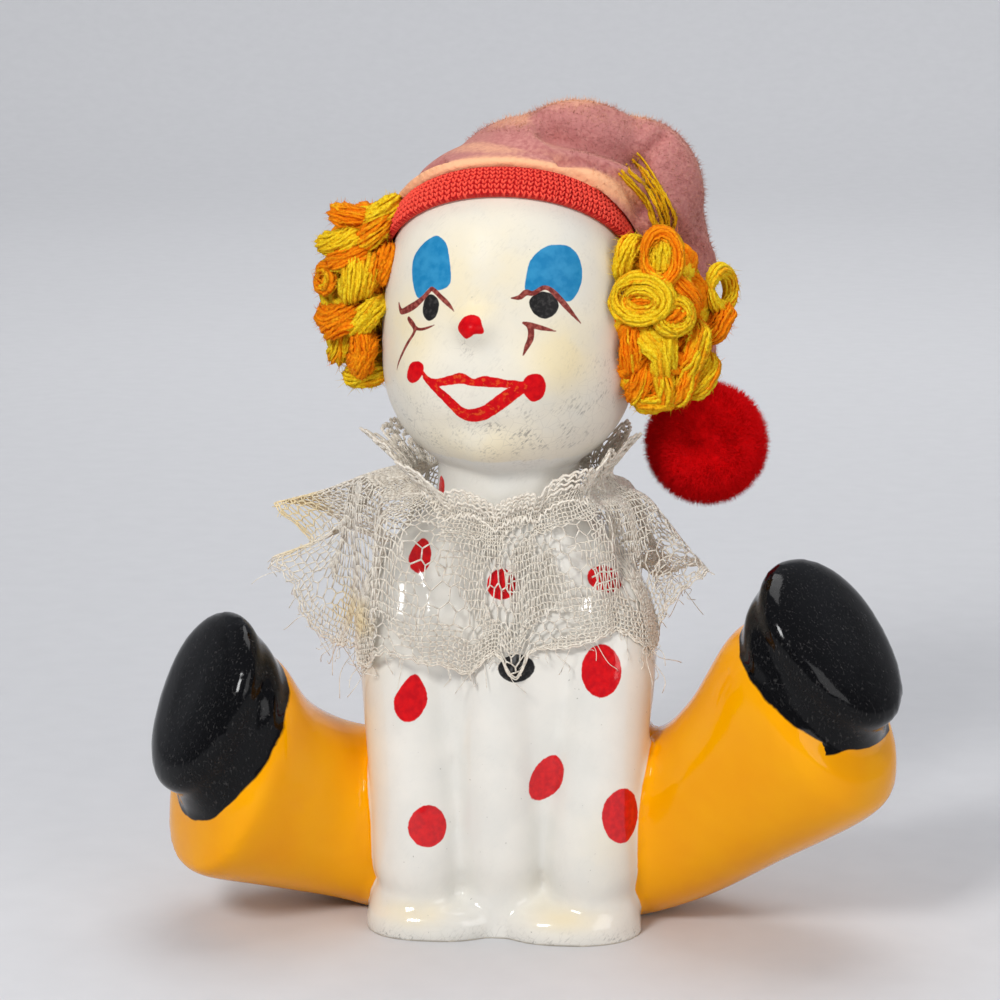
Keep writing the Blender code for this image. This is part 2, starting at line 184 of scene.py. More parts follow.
def finished(name, data, made_of, fields=None):
    for field, values in (fields or {}).items():
        layer = data.attributes.new(field, "FLOAT", "POINT")
        layer.data.foreach_set("value", np.asarray(values, np.float32))
    data.materials.clear()
    data.materials.append(made_of)
    data.shade_smooth()
    return placed(name, data)


def placed(name, data):
    """An object of some data, in the scene."""
    thing = bpy.data.objects.new(name, data)
    bpy.context.scene.collection.objects.link(thing)
    return thing


def merged(parts):
    """Joins parts of points, faces and a dictionary of fields."""
    starts = np.cumsum([0] + [len(points) for points, _, _ in parts])
    points = np.vstack([points for points, _, _ in parts])
    faces = np.vstack([faces + start for (_, faces, _), start in zip(parts, starts)])
    fields = {name: np.concatenate([fields[name] for _, _, fields in parts]) for name in parts[0][2]}
    return points, faces, fields


def tubes(paths, radii, upright, sides=4):
    """Closed tubes along paths of equal length; upright keeps their rings from twisting."""
    paths = np.asarray(paths, float)
    count, steps = paths.shape[:2]
    radii = np.broadcast_to(np.asarray(radii, float), (count, steps))
    ahead = unit(np.gradient(paths, axis=1))
    side = unit(np.cross(ahead, np.broadcast_to(upright, paths.shape)))
    other = np.cross(ahead, side)
    angles = math.tau * np.arange(sides) / sides
    spokes = (side[:, :, None] * np.cos(angles)[:, None] + other[:, :, None] * np.sin(angles)[:, None])
    points = paths[:, :, None] + spokes * radii[:, :, None, None]
    corner = np.arange(count * steps * sides).reshape(count, steps, sides)
    here, after = corner, np.roll(corner, -1, axis=2)
    a, b, c, d = here[:, :-1], after[:, :-1], after[:, 1:], here[:, 1:]
    walls = np.stack([np.stack([a, b, c], -1), np.stack([a, c, d], -1)]).reshape(-1, 3)
    fans = []
    for spoke in range(1, sides - 1):
        fans.append(np.stack([here[:, 0, 0], here[:, 0, spoke + 1], here[:, 0, spoke]], -1))
        fans.append(np.stack([here[:, -1, 0], here[:, -1, spoke], here[:, -1, spoke + 1]], -1))
    return points.reshape(-1, 3), np.vstack([walls] + fans)


def spikes(roots, tips, radius):
    """Closed three-sided fibres from roots to tips."""
    ahead = unit(tips - roots)
    side = unit(np.cross(ahead, [0.31, 0.52, 0.79]))
    other = np.cross(ahead, side)
    corners = [roots + radius * (side * math.cos(turn) + other * math.sin(turn))
               for turn in (0.0, math.tau / 3, 2 * math.tau / 3)]
    points = np.stack(corners + [tips], axis=1).reshape(-1, 3)
    first = 4 * np.arange(len(roots))[:, None]
    faces = np.vstack([first + np.array(face) for face in ((0, 1, 3), (1, 2, 3), (2, 0, 3), (0, 2, 1))])
    return points, faces


def scatter(points, triangles, count, chance):
    """Random places on a surface, with its normals and the triangles they lie in."""
    a, b, c = (points[triangles[:, corner]] for corner in range(3))
    normals = np.cross(b - a, c - a)
    areas = np.linalg.norm(normals, axis=1)
    chosen = chance.choice(len(triangles), count, p=areas / areas.sum())
    u, v = chance.random((2, count, 1))
    root = np.sqrt(u)
    places = a[chosen] * (1 - root) + b[chosen] * root * (1 - v) + c[chosen] * root * v
    return places, unit(normals[chosen]), chosen


def arrays_of(mesh):
    """Points in shares and triangles of a bmesh."""
    points = np.array([vert.co for vert in mesh.verts])
    triangles = np.array([[loop.vert.index for loop in loops] for loops in mesh.calc_loop_triangles()])
    return points, triangles


def ball(subdivisions):
    """Directions and triangles of a round ball of radius 1."""
    mesh = bmesh.new()
    bmesh.ops.create_icosphere(mesh, subdivisions=subdivisions, radius=1.0)
    directions, triangles = arrays_of(mesh)
    mesh.free()
    return directions, triangles


# Moulded forms, in shares

def signed_power(value, power):
    return math.copysign(abs(value) ** power, value)


def ring(centre, side, rise, half_side, half_rise, power=2.0, count=48):
    """Points of one superellipse; half_rise may be a pair: towards rise, and away from it."""
    towards, away = half_rise if isinstance(half_rise, tuple) else (half_rise, half_rise)
    points = []
    for step in range(count):
        angle = math.tau * step / count
        across = half_side * signed_power(math.cos(angle), 2.0 / power)
        reach = towards if math.sin(angle) > 0 else away
        along = reach * signed_power(math.sin(angle), 2.0 / power)
        points.append(centre + side * across + rise * along)
    return points


def skin(mesh, rings):
    """Joins rings of equal count into one closed skin with flat ends."""
    rows = wall(mesh, rings)
    mesh.faces.new(list(reversed(rows[0])))
    mesh.faces.new(rows[-1])


def wall(mesh, rings, closed=False):
    """Faces from each ring to the next, and from the last to the first where closed."""
    rows = [[mesh.verts.new(point) for point in points] for points in rings]
    count = len(rows[0])
    for low, high in zip(rows, rows[1:] + (rows[:1] if closed else [])):
        for step in range(count):
            after = (step + 1) % count
            mesh.faces.new((low[step], low[after], high[after], high[step]))
    return rows


def blob(mesh, centre, radii, power=2.0):
    """One superellipsoid, its poles along Z."""
    centre = Vector(centre)
    rings = []
    rows = 24
    for row in range(rows + 1):
        angle = math.pi * (row / rows - 0.5)
        angle = max(min(angle, math.pi * 0.485), -math.pi * 0.485)
        width = abs(math.cos(angle)) ** (2.0 / power)
        height = signed_power(math.sin(angle), 2.0 / power)
        rings.append(ring(centre + Vector((0, 0, radii[2] * height)), X_AXIS, Y_AXIS,
                          radii[0] * width, radii[1] * width, power))
    skin(mesh, rings)


def round_tube(mesh, points):
    """A round tube along rows of x, y, z and radius, in rings square to its way."""
    rows = curve_through(points, 8)
    centres = [Vector(row[:3]) for row in rows]
    rings = []
    for index, (centre, row) in enumerate(zip(centres, rows)):
        ahead = centres[min(index + 1, len(centres) - 1)] - centres[max(index - 1, 0)]
        ahead.normalize()
        side = ahead.cross(Y_AXIS)
        if side.length < 0.2:
            side = ahead.cross(X_AXIS)
        side.normalize()
        rings.append(ring(centre, side, ahead.cross(side), row[3], row[3], count=32))
    skin(mesh, rings)


def torso(mesh):
    """Tunic from the floor to the neck: rows of height, half width, front depth, back depth."""
    rows = curve_through([
        (-3.0, 16.6, 11.0, 14.2), (2.0, 17.0, 11.6, 14.8), (6.5, 16.6, 11.2, 14.8),
        (10.0, 17.4, 12.0, 15.4), (17.0, 18.0, 12.8, 15.6), (25.0, 18.8, 13.2, 15.2),
        (33.0, 19.7, 13.2, 14.8), (39.0, 20.1, 12.8, 14.4), (43.5, 19.6, 12.2, 14.0),
        (47.5, 18.2, 11.4, 13.2), (51.0, 16.2, 10.6, 12.2), (54.5, 13.6, 9.8, 11.2),
        (58.0, 10.6, 9.2, 10.2), (61.0, 9.7, 9.2, 9.8), (68.0, 9.8, 9.4, 9.8)], 6)
    rings = []
    for height, half_width, front, back in rows:
        below = max(0.0, min(1.0, (NECK_LOW - height) / SHOULDER_DROP))
        power = 2.5 if height < 45 else 2.2
        centre = Vector((NECK_ASIDE + TUNIC_ASIDE * below, 0.0, height))
        rings.append(ring(centre, X_AXIS, Y_AXIS, half_width, (back, front), power))
    skin(mesh, rings)


def arms_and_hands(mesh):
    """Two arms down the front of the tunic, with gathered cuffs and flat hands on the floor."""
    for way in (-1, 1):
        round_tube(mesh, [
            (way * 9.5, 0.0, 51.0, 5.5), (way * 12.6, -3.2, 46.0, 6.8),
            (way * 13.2 + 0.7, -6.0, 38.0, 7.2), (way * 12.9 + 0.8, -8.0, 29.0, 6.8),
            (way * 12.4 + 0.9, -9.4, 20.0, 6.5), (way * 12.0 + 0.9, -10.2, 13.0, 6.5),
            (way * 11.9 + 0.9, -10.4, 9.0, 6.4), (way * 11.8 + 0.9, -10.2, 6.2, 5.9),
            (way * 12.3 + 0.7, -10.0, 2.5, 6.5), (way * 12.4 + 0.7, -10.0, -2.0, 6.7)])
        blob(mesh, (way * 9.1 + 0.2, -9.5, 1.4), (9.6, 8.4, 3.8), power=2.5)
    round_tube(mesh, [
        (0.0, -5.0, 46.0, 5.0), (0.0, -7.6, 38.0, 6.4), (0.0, -8.6, 28.0, 6.5),
        (0.0, -9.2, 17.0, 6.5), (0.2, -9.5, 10.4, 6.3), (0.2, -9.4, 6.4, 5.6),
        (0.2, -9.2, 2.5, 6.0), (0.2, -9.2, -2.0, 6.2)])


def head_form(mesh, grow=0.0):
    """The egg of the head, out to its surface plus grow."""
    rings = []
    rows = 64
    for row in range(rows + 1):
        angle = math.pi * (0.02 + 0.96 * row / rows) - math.pi / 2
        lift = math.sin(angle)
        power = HEAD_POWER_ABOVE if lift > 0 else HEAD_POWER_BELOW
        width = abs(math.cos(angle)) ** (2.0 / power)
        height = (HEAD_ABOVE if lift > 0 else HEAD_BELOW) + grow
        centre = Vector(HEAD_CENTRE) + Vector((0, 0, height * signed_power(lift, 2.0 / power)))
        rings.append(ring(centre, X_AXIS, Y_AXIS, (HEAD_HALF_WIDTH + grow) * width,
                          (HEAD_HALF_DEPTH + grow) * width, HEAD_ROUNDNESS, 96))
    skin(mesh, rings)


def tilted_axes(turn_deg, rise_deg):
    """Facing, upright and sideways directions of a hem or sole turned out and tipped up."""
    turn, rise = math.radians(turn_deg), math.radians(rise_deg)
    facing = Vector((math.sin(turn) * math.cos(rise), -math.cos(turn) * math.cos(rise), math.sin(rise)))
    upright = Vector((-math.sin(turn) * math.sin(rise), math.cos(turn) * math.sin(rise), math.cos(rise)))
    return facing, upright, facing.cross(upright)


def leg(mesh, rows):
    """Flared trouser leg: rows of x, y, z, turn, rise, half height, half width."""
    rings = []
    for x, y, z, turn_deg, rise_deg, half_height, half_width in curve_through(rows, 8):
        _, upright, sideways = tilted_axes(turn_deg, rise_deg)
        rings.append(ring(Vector((x, y, z)), sideways, upright, half_width, half_height, 2.2))
    skin(mesh, rings)


def legs(mesh):
    leg(mesh, [
        (-5.0, 2.4, 11.4, -88.0, 0.0, 12.6, 11.0), (-15.0, 1.2, 11.4, -84.0, 2.0, 13.0, 11.4),
        (-23.5, -1.0, 13.4, -74.0, 8.0, 12.4, 11.4), (-31.0, -6.8, 17.6, -60.0, 17.0, 13.4, 12.0),
        (-36.4, -12.6, 22.7, -54.0, 25.0, 15.6, 12.6), (-37.5, -13.6, 25.0, -54.0, 25.0, 14.7, 12.1),
        (-37.9, -14.0, 27.2, -54.0, 25.0, 12.5, 10.6), (-38.1, -14.2, 28.2, -54.0, 25.0, 9.0, 8.0)])
    leg(mesh, [
        (5.0, 2.4, 11.4, 88.0, 0.0, 12.6, 11.0), (15.0, 1.2, 11.4, 84.0, 3.0, 13.0, 11.4),
        (24.5, -1.6, 14.6, 75.0, 14.0, 12.4, 11.6), (33.2, -7.0, 21.9, 64.0, 30.0, 12.8, 12.0),
        (41.2, -12.4, 30.8, 58.0, 41.0, 15.2, 12.8), (43.4, -14.8, 34.4, 58.0, 41.0, 14.2, 12.1),
        (43.7, -15.3, 37.0, 58.0, 41.0, 12.0, 10.6), (43.7, -15.5, 38.2, 58.0, 41.0, 8.8, 8.0)])


def shoe(mesh, sole_centre, turn_deg, rise_deg, sag):
    """Egg-shaped shoe, toe up: upper, shallow welt and domed sole, by distance out from the sole.

    sag is how far the upper lies lower than the sole, as a share of each row's drop.
    """
    facing, upright, sideways = tilted_axes(turn_deg, rise_deg)
    rings = []
    for out, half_height, half_width, drop in curve_through([
            (-11.0, 9.0, 7.5, 3.6), (-8.8, 11.2, 9.7, 3.2), (-6.8, 12.4, 10.8, 2.4),
            (-5.4, 12.7, 11.0, 1.8), (-4.3, 12.5, 10.6, 1.2), (-3.4, 12.3, 10.2, 0.8),
            (-2.7, 12.4, 10.2, 0.4), (-1.6, 12.8, 10.6, 0.1), (-0.5, 12.8, 10.6, 0.0),
            (0.6, 11.8, 9.6, 0.0), (1.4, 9.2, 7.3, 0.0), (1.8, 4.8, 3.8, 0.0)], 2):
        centre = Vector(sole_centre) + facing * out + upright * (TOE_SHIFT - sag * drop)
        reaches = (half_height - TOE_SHIFT, half_height + TOE_SHIFT)
        rings.append(ring(centre, sideways, upright, half_width, reaches, 2.1))
    skin(mesh, rings)


def shoes(mesh):
    shoe(mesh, *LOWER_SHOE, 1.2)
    shoe(mesh, *RAISED_SHOE, 0.9)


def form_mesh(forms):
    """Bmesh of closed forms, their faces pointing out."""
    mesh = bmesh.new()
    for form in forms:
        form(mesh)
    bmesh.ops.recalc_face_normals(mesh, faces=mesh.faces)
    return mesh


def scratch_object(mesh):
    data = bpy.data.meshes.new("scratch")
    mesh.to_mesh(data)
    mesh.free()
    return placed("scratch", data)


def evaluated(thing, *helpers):
    """Bmesh of an object with its modifiers; the object and its helpers are removed."""
    depsgraph = bpy.context.evaluated_depsgraph_get()
    mesh = bmesh.new()
    mesh.from_object(thing, depsgraph)
    for used in (thing, *helpers):
        bpy.data.objects.remove(used, do_unlink=True)
    return mesh


def melted(forms, voxel, passes, cutters=()):
    """Closed forms joined into one soft skin, less the cutters."""
    thing = scratch_object(form_mesh(forms))
    remesh = thing.modifiers.new("join", "REMESH")
    remesh.mode = "VOXEL"
    remesh.voxel_size = voxel
    soften = thing.modifiers.new("soften", "SMOOTH")
    soften.factor = 0.5
    soften.iterations = passes
    helpers = []
    for cutter in cutters:
        helper = scratch_object(form_mesh([cutter]))
        modifier = thing.modifiers.new("cut", "BOOLEAN")
        modifier.operation = "DIFFERENCE"
        modifier.solver = "EXACT"
        modifier.object = helper
        helpers.append(helper)
    return evaluated(thing, *helpers)


# The head's egg, for arrays of points

def egg_level(points):
    """How far out points lie in the head's egg: 1 on its surface."""
    offset = points - HEAD_CENTRE
    above = offset[..., 2] > 0
    power = np.where(above, HEAD_POWER_ABOVE, HEAD_POWER_BELOW)
    height = np.abs(offset[..., 2]) / np.where(above, HEAD_ABOVE, HEAD_BELOW)
    across = (np.abs(offset[..., 0] / HEAD_HALF_WIDTH) ** HEAD_ROUNDNESS
              + np.abs(offset[..., 1] / HEAD_HALF_DEPTH) ** HEAD_ROUNDNESS) ** (1.0 / HEAD_ROUNDNESS)
    return (height ** power + across ** power) ** (1.0 / power)


def egg_reach(starts, outward):
    """Distance from starts inside the egg to its surface along outward."""
    low = np.zeros(starts.shape[:-1])
    high = low + 2.5 * HEAD_HALF_WIDTH
    for _ in range(26):
        middle = (low + high) / 2
        within = egg_level(starts + outward * middle[..., None]) < 1.0
        low = np.where(within, middle, low)
        high = np.where(within, high, middle)
    return low


BAND_ORIGIN = np.array([0.5, 2.2, 89.0])
BAND_UP = np.array([0.0, math.sin(BAND_TILT), math.cos(BAND_TILT)])
BAND_BACK = np.array([0.0, math.cos(BAND_TILT), -math.sin(BAND_TILT)])
BAND_SIDE = np.array([1.0, 0.0, 0.0])


def rim_points(angles, heights, lift):
    """Points at a lift over the head, by angle round the rim's axis and height over its plane."""
    outward = BAND_SIDE * np.cos(angles)[..., None] + BAND_BACK * np.sin(angles)[..., None]
    starts = BAND_ORIGIN + BAND_UP * heights[..., None]
    return starts + outward * (egg_reach(starts, outward) + lift)[..., None]


def face_chart(points):
    """Distance across from the face's middle, and height."""
    offset = points - HEAD_CENTRE
    turn = np.arctan2(offset[:, 0], -offset[:, 1]) - math.radians(FACE_TURN_DEG)
    return turn * HEAD_HALF_WIDTH, points[:, 2]


# Painted shapes: distances inside their outlines, positive within

def outline_field(outline, x, y):
    """Signed distance inside a closed smooth outline."""
    loop = curve_through(outline, 6, closed=True)
    ends = np.roll(loop, -1, axis=0)
    nearest = np.full(x.shape, 1e9)
    inside = np.zeros(x.shape, bool)
    for (ax, ay), (bx, by) in zip(loop, ends):
        nearest = np.minimum(nearest, segment_distance(x, y, ax, ay, bx, by)[0])
        if ay != by:
            crosses = ((ay > y) != (by > y)) & (x < (bx - ax) * (y - ay) / (by - ay) + ax)
            inside ^= crosses
    return np.where(inside, nearest, -nearest)


def segment_distance(x, y, ax, ay, bx, by):
    length = (bx - ax) ** 2 + (by - ay) ** 2
    share = np.clip(((x - ax) * (bx - ax) + (y - ay) * (by - ay)) / max(length, 1e-9), 0.0, 1.0)
    return np.hypot(x - ax - share * (bx - ax), y - ay - share * (by - ay)), share


def stroke_field(stroke, x, y):
    """Distance inside a brush stroke: rows of x, y and half width."""
    rows = curve_through(stroke, 5)
    field = np.full(x.shape, -1e9)
    for (ax, ay, aw), (bx, by, bw) in zip(rows, rows[1:]):
        away, share = segment_distance(x, y, ax, ay, bx, by)
        field = np.maximum(field, aw + (bw - aw) * share - away)
    return field


EYE_SHADOWS = (
    ((-7.4, 95.9), (-5.5, 95.2), (-4.4, 93.3), (-3.8, 91.0), (-3.9, 89.8), (-5.4, 89.0), (-7.0, 89.2),
     (-8.5, 87.8), (-9.6, 88.3), (-10.7, 90.6), (-11.1, 92.4), (-10.7, 93.6), (-9.4, 95.0)),
    ((11.9, 95.0), (13.9, 94.7), (15.2, 93.4), (15.5, 91.5), (15.0, 89.7), (13.9, 88.2), (12.6, 87.7),
     (10.9, 89.2), (9.7, 89.8), (8.4, 89.1), (6.9, 89.3), (7.1, 91.2), (7.7, 93.0), (9.1, 94.3),
     (10.6, 94.9)),
)
PUPILS = (
    ((-6.8, 88.4), (-5.7, 88.0), (-5.3, 87.0), (-5.7, 85.6), (-6.7, 84.9), (-7.6, 85.4), (-8.0, 86.4),
     (-7.7, 87.8)),
    ((9.5, 89.1), (11.0, 88.5), (11.5, 87.1), (10.8, 86.1), (9.5, 85.6), (8.1, 86.2), (7.4, 87.7),
     (8.1, 88.7)),
)
LASHES = (
    ((-13.1, 86.7, 0.15), (-12.7, 86.0, 0.3), (-12.0, 85.7, 0.42), (-10.0, 86.5, 0.5), (-8.3, 87.6, 0.38),
     (-7.2, 88.7, 0.3), (-6.6, 89.1, 0.3), (-5.3, 88.3, 0.34), (-3.9, 87.3, 0.3), (-2.9, 86.4, 0.06)),
    ((5.0, 88.3, 0.1), (6.1, 88.4, 0.32), (7.0, 89.0, 0.4), (8.0, 88.9, 0.3), (9.5, 89.6, 0.3),
     (10.7, 89.1, 0.34), (12.2, 87.5, 0.42), (13.6, 85.9, 0.26), (14.7, 84.7, 0.06)),
)
TEARS = (
    ((-10.5, 84.9, 0.3), (-10.0, 84.5, 0.4), (-9.2, 83.8, 0.34), (-9.3, 83.0, 0.22), (-10.2, 81.7, 0.24),
     (-11.1, 80.2, 0.22), (-11.9, 78.9, 0.18), (-12.4, 77.9, 0.06)),
    ((-9.2, 83.9, 0.28), (-8.4, 83.7, 0.22), (-7.2, 83.9, 0.18), (-5.8, 84.5, 0.06)),
    ((6.6, 85.1, 0.16), (7.3, 84.8, 0.4), (7.6, 84.1, 0.44), (7.5, 83.0, 0.42), (7.0, 82.0, 0.32),
     (6.5, 80.9, 0.08)),
    ((7.4, 84.9, 0.3), (8.6, 84.5, 0.34), (9.8, 84.2, 0.24), (11.0, 83.9, 0.06)),
)
NOSE_PAINT = ((-0.2, 86.1), (0.9, 85.8), (1.3, 84.9), (1.5, 83.8), (0.5, 83.6), (-0.6, 83.0), (-1.4, 83.6),
              (-1.9, 84.4), (-1.3, 85.6))
MOUTH_CORNERS = (
    ((-7.9, 79.6), (-7.0, 79.3), (-6.9, 78.4), (-7.7, 77.1), (-8.9, 76.6), (-9.7, 77.2), (-9.4, 78.6),
     (-8.7, 79.4)),
    ((7.7, 78.6), (8.9, 78.2), (9.4, 76.8), (8.9, 75.3), (7.9, 74.8), (7.0, 75.4), (6.4, 76.7), (6.7, 78.0)),
)
LIPS = (
    ((-7.2, 78.5, 0.16), (-6.3, 77.4, 0.36), (-5.0, 77.0, 0.5), (-3.2, 77.4, 0.62), (-1.7, 77.7, 0.74),
     (-0.2, 77.2, 0.5), (1.3, 77.4, 0.72), (2.8, 77.3, 0.66), (4.2, 77.2, 0.56), (5.4, 77.2, 0.46),
     (6.8, 77.1, 0.44)),
    ((-6.6, 77.5, 0.4), (-5.4, 76.2, 0.54), (-4.2, 75.0, 0.66), (-3.0, 73.7, 0.76), (-1.9, 72.8, 0.86),
     (-0.5, 72.6, 0.94), (1.2, 73.1, 0.96), (2.9, 74.2, 0.98), (4.6, 75.5, 0.96), (6.4, 76.8, 0.7)),
)

# Painted dots of the tunic: x, height, half width, half height, lean, leaf point at the top
FRONT_DOTS = (
    (-11.6, 33.3, 2.3, 3.3, -0.15, 0.9), (-9.1, 15.9, 2.7, 2.9, 0.0, 0.15), (6.7, 22.3, 2.2, 3.2, -0.3, 0.0),
    (14.1, 37.6, 2.7, 3.6, 0.0, 0.1), (17.2, 17.8, 2.9, 3.8, 0.0, 0.0), (-11.0, 51.7, 1.7, 2.5, 0.1, 0.2),
    (0.4, 48.7, 2.0, 2.1, 0.0, 0.0), (14.2, 49.3, 2.3, 2.0, 0.2, 0.0), (-8.6, 60.6, 1.2, 1.6, 0.0, 0.0),
)
BACK_DOTS = (
    (-10.4, 41.0, 2.5, 3.2, 0.2, 0.3), (2.6, 44.2, 2.3, 3.0, 0.0, 0.0), (12.8, 36.6, 2.6, 3.4, -0.2, 0.2),
    (-3.4, 30.6, 2.4, 3.3, 0.1, 0.5), (-13.2, 23.8, 2.4, 3.1, 0.0, 0.0), (8.2, 23.0, 2.6, 3.0, 0.2, 0.1),
)
BUTTON = (2.7, 37.7, 2.5, 1.9, 0.0, 0.0)


def dot_field(tree, points, dot, facing):
    """Distance inside a painted dot laid on the surface that faces forwards or backwards."""
    x, height, half_width, half_height, lean, leaf = dot
    place, normal, _, _ = tree.ray_cast(Vector((x, 100.0 * facing, height)), Vector((0, -facing, 0)))
    across = Vector((0, 0, 1)).cross(normal).normalized() * -facing
    upwards = normal.cross(across) * -facing
    offset = points - np.array(place)
    side = offset @ np.array(across)
    rise = offset @ np.array(upwards)
    side = side + lean * rise
    taper = 1.0 - 0.45 * leaf * smoothstep(-0.2, 1.1, rise / half_height)
    level = np.hypot(side / (half_width * taper), rise / half_height)
    field = (1.0 - level) * min(half_width, half_height)
    beyond = np.abs(offset @ np.array(normal)) > 4.0
    return np.where(beyond, OUTSIDE, field)


# Materials

class Finish:
    """A procedural material and short calls for its nodes; lengths in its textures are in mm."""

    def __init__(self, name, roughness, **plain):
        self.material = bpy.data.materials.new(name)
        self.material.use_nodes = True
        self.tree = self.material.node_tree
        self.shader = self.tree.nodes["Principled BSDF"]
        self.roughness(roughness)
        for socket, value in plain.items():
            self.set(self.shader.inputs[socket.replace("_", " ")], value)
        place = self.node("TexCoord", {}, "Object")
        self.place = self.node("VectorMath", {0: place, "Scale": 1.0 / SHARE}, operation="SCALE")

    def set(self, socket, source):
        if isinstance(source, (int, float)):
            socket.default_value = source
        elif isinstance(source, tuple):
            socket.default_value = source if len(source) == len(socket.default_value) else (*source, 1.0)
        else:
            self.tree.links.new(source, socket)

    def node(self, kind, inputs, output=0, **settings):
        """Output of a new node, with its inputs by name or number and its settings."""
        node = self.tree.nodes.new("ShaderNode" + kind)
        for name, value in settings.items():
            setattr(node, name, value)
        for socket, source in inputs.items():
            self.set(node.inputs[socket], source)
        return node.outputs[output]

    def field(self, name):
        return self.node("Attribute", {}, "Fac", attribute_name=name)

    def noise(self, size, detail, stretch=None, slant=0.0):
        """Noise with features of about size mm, slanted about Y and drawn out along the axes by stretch."""
        place = self.place
        if slant:
            place = self.node("VectorRotate", {"Vector": place, "Angle": slant}, rotation_type="Y_AXIS")
        if stretch:
            shares = tuple(1.0 / each for each in stretch)
            place = self.node("VectorMath", {0: place, 1: shares}, operation="MULTIPLY")
        return self.node("TexNoise", {"Vector": place, "Scale": 1.0 / size, "Detail": detail})

    def cracks(self, size):
        """Distance to the edges of random cells, in cell sizes."""
        inputs = {"Scale": 1.0 / size, "Vector": self.place}
        return self.node("TexVoronoi", inputs, "Distance", feature="DISTANCE_TO_EDGE")

    def math(self, operation, first, second):
        return self.node("Math", {0: first, 1: second}, operation=operation)

    def times(self, first, second):
        return self.math("MULTIPLY", first, second)

    def plus(self, first, second):
        return self.math("ADD", first, second)

    def varied(self, source, amount=1.0):
        """How far a noise lies from its middle, times amount."""
        return self.times(self.math("SUBTRACT", source, 0.5), amount)

    def step(self, value, low, high, bottom=0.0, top=1.0):
        inputs = {"Value": value, "From Min": low, "From Max": high, "To Min": bottom, "To Max": top}
        return self.node("MapRange", inputs, "Result", interpolation_type="SMOOTHSTEP")

    def mix(self, share, first, second):
        return self.node("Mix", {0: share, 6: first, 7: second}, 2, data_type="RGBA")

    def bump(self, height, distance):
        inputs = {"Distance": distance * SHARE, "Strength": 1.0, "Height": height}
        self.set(self.shader.inputs["Normal"], self.node("Bump", inputs, "Normal"))

    def colour(self, source):
        self.set(self.shader.inputs["Base Color"], source)

    def roughness(self, source):
        self.set(self.shader.inputs["Roughness"], source)


